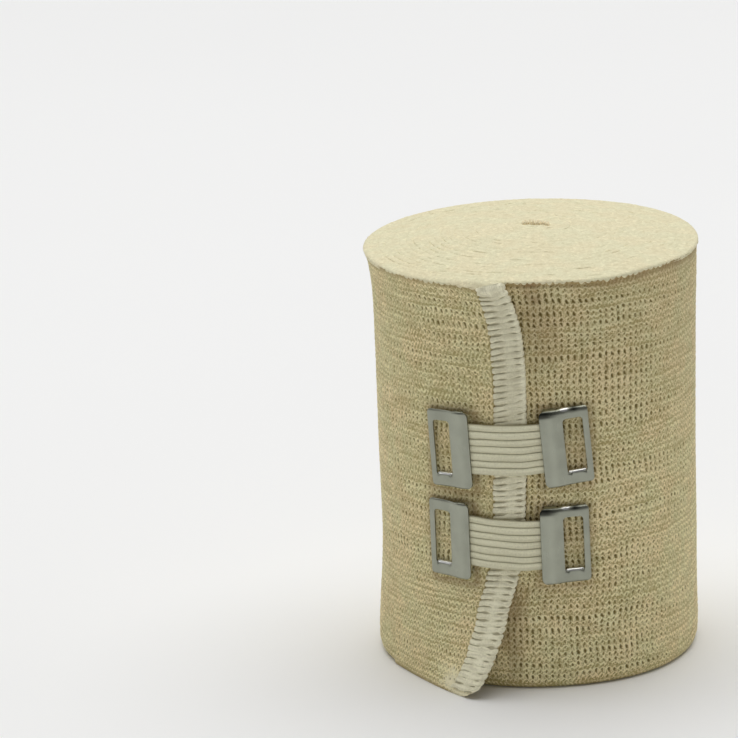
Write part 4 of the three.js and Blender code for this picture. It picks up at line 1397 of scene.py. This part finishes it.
class BuildClipPlates(bpy.types.Operator):
    """Build the stamped metal plates at the ends of the clips"""

    bl_idname = "bandage.clip_plates"
    bl_label = "Clip plates"

    HALF = PLATE_HEIGHT / 2
    SIDE = PLATE_WIDTH / 2
    # Front face's height across the plate, from its elastic side
    SECTION = (
        (-5.85, 1.9),
        (-5.3, 2.0),
        (-3.2, 2.04),
        (-2.6, 1.98),
        (-2.0, 1.84),
        (-1.4, 1.64),
        (-0.8, 1.45),
        (-0.2, 1.3),
        (0.6, 1.16),
        (1.6, 1.04),
        (5.85, 0.6),
    )
    WINDOW = (-0.35, 4.4, 6.65)
    WINDOW_CORNER = 0.8
    TONGUE = (-0.1, 4.15, 1.15)
    SLEEVE_END = -1.75
    SLEEVE_CORNER = 1.4
    FLANGE = 0.75
    # How widely the lower and upper edges are rolled, on the left plates and on the right ones
    ROLLS = {-1: (0.35, 0.35), 1: (0.35, 1.3)}
    # How far the edges beside the sleeve and the tongue are turned back, in radians
    FRAME_TURN, TONGUE_TURN = 1.2, 1.35
    TONGUE_BEND = 0.6
    EDGE = 0.11
    SPACING, CLEAR = 0.42, 0.28
    BLANK_REACH = 11.5

    def execute(self, context):
        material = metal_finish("stamped_metal", tuple(context.scene.bandage_clips.metal))
        for clip, seats in CLIPS.items():
            for seat in seats:
                node = f"{clip}_plate_{'left' if seat.side < 0 else 'right'}"
                settle(self.plate(node + "_metal", seat, material), node)
        return {"FINISHED"}

    def blank_half(self, x, roll):
        """Half the flat blank's height: long where the flanges are bent back over the sleeve."""
        sleeve = 1 - smooth_step(x, self.SLEEVE_END - 0.25, self.SLEEVE_END + 0.05)
        turn = math.pi / 2 * sleeve + self.FRAME_TURN * (1 - sleeve)
        return self.HALF - roll + roll * turn + self.FLANGE * sleeve

    def outline(self, rolls):
        lower, upper = (self.half_outline(roll) for roll in rolls)
        return self.divided(np.concatenate([upper, lower[::-1] * [1, -1]]))[::-1]

    def half_outline(self, roll):
        side, corner = self.SIDE, self.SLEEVE_CORNER
        turn = np.radians([0, 12, 24, 36, 48, 58, 67, 76, 84, 90])
        x = corner * (1 - np.cos(turn)) - side
        arc = self.HALF - corner * (1 - np.sin(turn))
        # The flange starts where the corner's arc has reached the plate's edge
        flange = smooth_step(np.arange(len(turn)), 5.5, 9)
        sleeve = np.stack([x, arc + (self.blank_half(x, roll) - arc) * flange], axis=1)
        x = np.linspace(corner - side, side - PLATE_CORNER, 44)[1:]
        top = np.stack([x, self.blank_half(x, roll)], axis=1)
        turn = np.linspace(math.pi / 2, 0, 9)[1:]
        centre = np.array([side, self.blank_half(np.array(side), roll)]) - PLATE_CORNER
        frame = centre + PLATE_CORNER * np.stack([np.cos(turn), np.sin(turn)], axis=1)
        return np.concatenate([sleeve, top, frame])

    def window(self):
        left, right, half = self.WINDOW
        tongue_left, tongue_right, tongue = self.TONGUE
        r = self.WINDOW_CORNER

        def corner(x, y, start):
            turn = np.radians(start + np.linspace(0, 90, 6))
            return np.stack([x + r * np.cos(turn), y + r * np.sin(turn)], axis=1)

        foot = -half
        slot = 0.12
        tip = [
            (tongue_left - slot, foot),
            (tongue_left, foot + 0.02),
            (tongue_left + 0.02, foot + tongue * 0.5),
            (tongue_left + 0.25, foot + tongue),
            ((tongue_left + tongue_right) / 2, foot + tongue + 0.04),
            (tongue_right - 0.25, foot + tongue),
            (tongue_right - 0.02, foot + tongue * 0.5),
            (tongue_right, foot + 0.02),
            (tongue_right + slot, foot),
        ]
        upper = [corner(right - r, half - r, 0), corner(left + r, half - r, 90)]
        lower = [corner(left + r, foot + r, 180), tip, corner(right - r, foot + r, 270)]
        return self.divided(np.concatenate(upper + lower))

    def divided(self, loop):
        """A closed outline with its long sides divided."""
        dense = []
        for a, b in zip(loop, np.roll(loop, -1, axis=0)):
            pieces = max(1, int(np.linalg.norm(b - a) / self.SPACING))
            dense.extend(a + (b - a) * k / pieces for k in range(pieces))
        return np.array(dense)

    def inset(self, loop, distance):
        """The outline moved sideways, towards its left hand."""
        before, after = np.roll(loop, 1, axis=0), np.roll(loop, -1, axis=0)
        along = unit(after - before)
        return loop + distance * np.stack([-along[:, 1], along[:, 0]], axis=1)

    def shape(self, x, s, depth, rolled, rolls):
        """Bends the flat blank: depth is measured into the metal, and rolled rounds its edges."""
        front = np.interp(x, *np.array(self.SECTION).T)
        bend = np.where(s > 0, rolls[1], rolls[0])
        over = np.abs(s) - (self.HALF - bend)
        angle = np.clip(over / bend, 0, math.pi / 2)
        straight = np.maximum(0, over - bend * math.pi / 2)
        reach = bend - depth - rolled
        z = np.sign(s) * (np.minimum(np.abs(s), self.HALF - bend) + reach * np.sin(angle))
        y = front - bend + reach * np.cos(angle) - straight
        half = self.WINDOW[2]
        tongue_left, tongue_right, _ = self.TONGUE
        on_tongue = (x > tongue_left - 0.01) & (x < tongue_right + 0.01) & (s > -half) & (s < 0)
        up = np.clip((s + half) / self.TONGUE_BEND, 0, self.TONGUE_TURN)
        further = np.maximum(0, (s + half) - self.TONGUE_TURN * self.TONGUE_BEND)
        small = self.TONGUE_BEND - depth - rolled
        tongue_z = -half + small * np.sin(up) + further * math.cos(self.TONGUE_TURN)
        tongue_y = front - self.TONGUE_BEND + small * np.cos(up) - further * math.sin(self.TONGUE_TURN)
        return np.where(on_tongue, tongue_z, z), np.where(on_tongue, tongue_y, y)

    def plate(self, name, seat, material):
        rolls = self.ROLLS[seat.side]
        outline, window = self.outline(rolls), self.window()[::-1]
        rings = []
        for distance in (0, 0.4 * self.EDGE, self.EDGE):
            rings += [self.inset(outline, distance), self.inset(window, distance)]
        x = np.arange(self.SPACING - self.SIDE, self.SIDE - self.EDGE, self.SPACING)
        s = np.arange(-self.BLANK_REACH, self.BLANK_REACH, self.SPACING)
        borders = np.concatenate([outline, window])
        inner = np.stack(np.meshgrid(x, s), axis=-1).reshape(-1, 2)
        inner = [p for p in inner if np.linalg.norm(borders - p, axis=1).min() > self.CLEAR]
        loops = []
        start = 0
        for ring in rings[:2]:
            loops.extend((start + i, start + (i + 1) % len(ring)) for i in range(len(ring)))
            start += len(ring)
        flat = [Vector(p) for p in np.concatenate([*rings, inner])]
        points, _, faces, *_ = delaunay_2d_cdt(flat, loops, [], 0, 1e-5)
        points = np.array([tuple(p) for p in points])
        faces = np.array([f for f in faces if len(f) == 3])
        middle = points[faces].mean(axis=1)
        faces = faces[inside(middle, outline) & ~inside(middle, window)]
        used, faces = np.unique(faces, return_inverse=True)
        points, faces = points[used], faces.reshape(-1, 3)

        near = np.array([edge_distance(p, outline, window) for p in points])
        rolled = self.EDGE - np.sqrt(np.maximum(0, self.EDGE**2 - np.maximum(0, self.EDGE - near) ** 2))
        x = points[:, 0]
        z, y = self.shape(x, points[:, 1], 0.0, rolled, rolls)
        back_z, back_y = self.shape(x, points[:, 1], PLATE_METAL, -rolled * 0.4, rolls)
        front = np.stack([x * seat.side, -y, z], axis=1)
        behind = np.stack([x * seat.side, -back_y, back_z], axis=1)
        edges = border_edges(faces)
        count = len(points)
        walls = np.concatenate([edges[:, ::-1], edges + count], axis=1)
        whole = through(seat_matrix(seat), np.concatenate([front, behind]))
        uv = np.concatenate([points, points])
        fields = {
            SHADE_FIELD: np.tile(self.tarnish(x, points[:, 1], seat.side), 2),
            LIGHT_FIELD: np.tile(self.sheen(x, points[:, 1], seat.side), 2),
        }
        return add_piece(name, whole, [faces, faces[:, ::-1] + count, walls], material, uv, fields)

    def tarnish(self, x, s, side):
        """Painted dark reflections along the rolled upper edge."""
        over = s - (self.HALF - self.ROLLS[side][1])
        if side < 0:
            return 0.35 * smooth_step(over, 0.1, 0.3) * smooth_step(x, 1, -3)
        wedge = smooth_step(x, -0.6, -4.2) * smooth_step(over, -0.9, -0.1)
        wedge = wedge * (1 - smooth_step(over, 1.0, 1.5))
        mark = hill(x, 2.6, 1.1) * smooth_step(over, 0.0, 0.4) * (1 - smooth_step(over, 1.3, 1.7))
        return 0.95 * np.clip(wedge + mark, 0, 1)

    def sheen(self, x, s, side):
        """Painted highlights: a paler upright band where the sleeve's face bends, a bright streak on the
        rolled edge and a bright lip at the window's foot.
        """
        over = s - (self.HALF - self.ROLLS[side][1])
        streak = hill(x, 0.4, 1.5) * smooth_step(over, 0.2, 0.6) if side > 0 else 0
        left, right, _ = self.TONGUE
        foot = s + self.WINDOW[2]
        lip = (x > left) & (x < right) & (foot > 0.1) & (foot < 1.2)
        return 0.45 * hill(x, -3.4, 1.0) + 1.6 * streak + 1.3 * lip


def inside(points, outline):
    """Whether each point lies inside a closed outline."""
    a, b = outline, np.roll(outline, -1, axis=0)
    x, y = points[:, :1], points[:, 1:]
    crosses = (a[:, 1] > y) != (b[:, 1] > y)
    rise = np.where(b[:, 1] == a[:, 1], 1e-12, b[:, 1] - a[:, 1])
    return (crosses & (x < a[:, 0] + (b[:, 0] - a[:, 0]) * (y - a[:, 1]) / rise)).sum(axis=1) % 2 == 1


def edge_distance(point, *outlines):
    """How far a point is from the nearest side of some closed outlines."""
    nearest = math.inf
    for outline in outlines:
        a, b = outline, np.roll(outline, -1, axis=0)
        along = b - a
        share = np.clip(((point - a) * along).sum(1) / np.maximum((along**2).sum(1), 1e-12), 0, 1)
        nearest = min(nearest, np.linalg.norm(a + along * share[:, None] - point, axis=1).min())
    return nearest


def border_edges(faces):
    """The directed edges that only one face has."""
    edges = np.concatenate([faces[:, [0, 1]], faces[:, [1, 2]], faces[:, [2, 0]]])
    key = np.sort(edges, axis=1)
    _, first, count = np.unique(key, axis=0, return_index=True, return_counts=True)
    return edges[first[count == 1]]


class BuildClipElastics(bpy.types.Operator):
    """Build the ribbed elastics of the clips"""

    bl_idname = "bandage.clip_elastics"
    bl_label = "Clip elastics"

    RIBS = (1.05, 0.9, 1.1, 1.0, 0.95, 1.1, 0.9)
    STEPS = 80
    RIB_POINTS = 9

    def execute(self, context):
        clips = context.scene.bandage_clips
        colours = tuple(clips.elastic), tuple(clips.elastic_groove)
        material = thread_finish("covered_elastic", *colours, 4.0, 0.22)
        for clip, seats in CLIPS.items():
            settle(self.band(f"{clip}_band", seats, material), f"{clip}_elastic")
        return {"FINISHED"}

    def band(self, name, seats, material):
        left, right = (seat_matrix(seat) for seat in seats)
        mouth = PLATE_WIDTH / 2
        centre = -ELASTIC_CENTRE
        start = np.array(left @ Vector((mouth, centre, 0)))
        end = np.array(right @ Vector((-mouth, centre, 0)))
        knots = [np.array(left @ Vector((mouth - ELASTIC_INSIDE, centre, 0))), start]
        for i, row in enumerate(ELASTIC_RISE):
            z = start[2] + (end[2] - start[2]) * (i + 1) / (len(ELASTIC_RISE) + 1)
            knots.append(lap_point(row.angle - ROOT_ANGLE, z, row.rise))
        knots += [end, np.array(right @ Vector((ELASTIC_INSIDE - mouth, centre, 0)))]
        path = catmull_rom(knots, self.STEPS)
        along = unit(np.gradient(path, axis=0))
        out = unit(np.stack([along[:, 1], -along[:, 0], 0 * along[:, 0]], axis=1))
        up = np.cross(out, along)
        up *= np.sign(up[:, 2:])

        widths = np.array(self.RIBS) / sum(self.RIBS) * ELASTIC_WIDTH
        edges = np.concatenate([[0], np.cumsum(widths)]) - ELASTIC_WIDTH / 2 + 0.25
        turn = np.linspace(0, math.pi, self.RIB_POINTS, endpoint=False)[None]
        across = edges[:-1, None] + widths[:, None] * (0.5 - 0.5 * np.cos(turn))
        round_at = np.arange(len(widths))[:, None] + turn / math.pi
        v = np.append(across, edges[-1])
        high = np.append(np.repeat(np.sin(turn) ** 0.75, len(widths), 0), 0)
        face = ELASTIC_CORE / 2 + ELASTIC_RIB * (high * 1.3 - 0.35)
        behind = -ELASTIC_CORE / 2 - 0.1 * high
        section = np.concatenate([np.stack([v, face], axis=1), np.stack([v, behind], axis=1)[::-1]])
        rounds = np.tile(np.append(round_at, len(widths)), 2)

        share = np.linspace(0, 1, self.STEPS)[:, None]
        sway = 0.07 * smooth_random(share * 6, section[None, :, 0] / 3, 91)
        swell = 1 + 0.12 * smooth_random(share * 9, np.floor(rounds)[None] * 2.3, 93)
        points = (
            path[:, None]
            + up[:, None] * (section[None, :, :1] + sway[..., None])
            + out[:, None] * (section[None, :, 1:] * swell[..., None])
        )[None]
        # Each rib is painted in shade at its grooves, and painted a little lighter towards its upper side,
        # where the light falls
        shaded = 0.8 + 0.26 * np.sin(math.pi * (rounds[: len(high)] % 1 - 0.5))
        lit = np.minimum(1, 0.06 + 1.06 * high) * shaded
        crest = np.concatenate([lit, lit[::-1]])
        fields = {LIGHT_FIELD: np.broadcast_to(crest[None], (self.STEPS, len(crest)))}
        return add_tubes(name, points, material, flat_map(share * 5, rounds[None]), fields)


class BuildStage(bpy.types.Operator):
    """Lay the floor and set the lights and the camera"""

    bl_idname = "bandage.stage"
    bl_label = "Stage"

    REACH = 2.5
    LIT = (0, 0, 0.05)

    def execute(self, context):
        stage = context.scene.bandage_stage
        self.floor(stage)
        self.lights(context, stage)
        self.camera(context, stage)
        return {"FINISHED"}

    def floor(self, stage):
        finish = Finish("pale_floor")
        mottle = finish.noise(6, 2, 0.5)
        floor = tuple(stage.floor)
        colour = finish.mix(mottle, floor, tuple(0.985 * c for c in floor))
        material = finish.finish(colour, 0.7)
        mesh = bpy.data.meshes.new("floor")
        corners = [(x * self.REACH, y * self.REACH, 0) for x, y in ((-1, -1), (1, -1), (1, 1), (-1, 1))]
        mesh.from_pydata(corners, [], [(0, 1, 2, 3)])
        mesh.materials.append(material)
        link("floor", mesh)

    def lights(self, context, stage):
        world = bpy.data.worlds.new("room")
        world.use_nodes = True
        background = world.node_tree.nodes["Background"]
        background.inputs["Color"].default_value = (1, 1, 1, 1)
        background.inputs["Strength"].default_value = stage.sky
        context.scene.world = world
        target = Vector(self.LIT)
        for name, place, size, power in (
            ("top_light", (0.05, 0.5, 2.0), 3.0, stage.top_light),
            ("left_light", (-1.2, 0.2, 0.5), 0.8, stage.side_light),
            ("right_light", (1.2, 0.2, 0.5), 0.8, 0.68 * stage.side_light),
            ("front_light", (0.0, -1.1, 0.14), 0.6, stage.front_light),
        ):
            light = bpy.data.lights.new(name, "AREA")
            light.shape = "DISK"
            light.size = size
            light.energy = power
            lamp = link(name, light)
            lamp.location = place
            lamp.rotation_euler = (target - Vector(place)).to_track_quat("-Z", "Y").to_euler()
        context.scene.view_settings.view_transform = "Standard"

    def camera(self, context, stage):
        ahead = math.cos(stage.pitch)
        forward = Vector((math.sin(stage.yaw) * ahead, math.cos(stage.yaw) * ahead, -math.sin(stage.pitch)))
        level = forward.cross(Vector((0, 0, 1))).normalized()
        above = level.cross(forward)
        right = level * math.cos(stage.roll) + above * math.sin(stage.roll)
        up = above * math.cos(stage.roll) - level * math.sin(stage.roll)
        data = bpy.data.cameras.new("camera")
        data.angle = stage.view
        data.clip_start, data.clip_end = 0.05, 20
        camera = link("camera", data)
        turn = Matrix((right, up, -forward)).transposed().to_4x4()
        camera.matrix_world = Matrix.Translation((0, -stage.distance, stage.height)) @ turn
        context.scene.camera = camera


OPERATORS = (
    BuildStage,
    BuildInnerTurns,
    BuildOuterTurn,
    BuildRimLoops,
    BuildLooseEnd,
    BuildStitches,
    BuildClipPlates,
    BuildClipElastics,
)


class BandagePanel(bpy.types.Panel):
    """Lists the steps that build the bandage"""

    bl_idname = "BANDAGE_PT_build"
    bl_label = "Bandage roll"
    bl_space_type = "VIEW_3D"
    bl_region_type = "UI"
    bl_category = "Bandage"

    def draw(self, context):
        layout = self.layout
        for group, keys in SETTINGS.items():
            box = layout.box()
            for key in keys.__annotations__:
                box.prop(getattr(context.scene, group), key)
        for operator in OPERATORS:
            layout.operator(operator.bl_idname)


SETTINGS = {
    "bandage_cloth": ClothSettings,
    "bandage_sewing": SewingSettings,
    "bandage_clips": ClipSettings,
    "bandage_stage": StageSettings,
}


def register():
    for group in SETTINGS.values():
        bpy.utils.register_class(group)
    for name, group in SETTINGS.items():
        setattr(bpy.types.Scene, name, PointerProperty(type=group))
    for operator in OPERATORS:
        bpy.utils.register_class(operator)
    bpy.utils.register_class(BandagePanel)


def unregister():
    bpy.utils.unregister_class(BandagePanel)
    for operator in reversed(OPERATORS):
        bpy.utils.unregister_class(operator)
    for name in SETTINGS:
        delattr(bpy.types.Scene, name)
    for group in reversed(SETTINGS.values()):
        bpy.utils.unregister_class(group)


def main():
    register()
    bpy.ops.bandage.stage()
    bpy.ops.bandage.inner_turns()
    bpy.ops.bandage.outer_turn()
    bpy.ops.bandage.rim_loops()
    bpy.ops.bandage.loose_end()
    bpy.ops.bandage.stitches()
    bpy.ops.bandage.clip_plates()
    bpy.ops.bandage.clip_elastics()


if __name__ == "__main__":
    main()
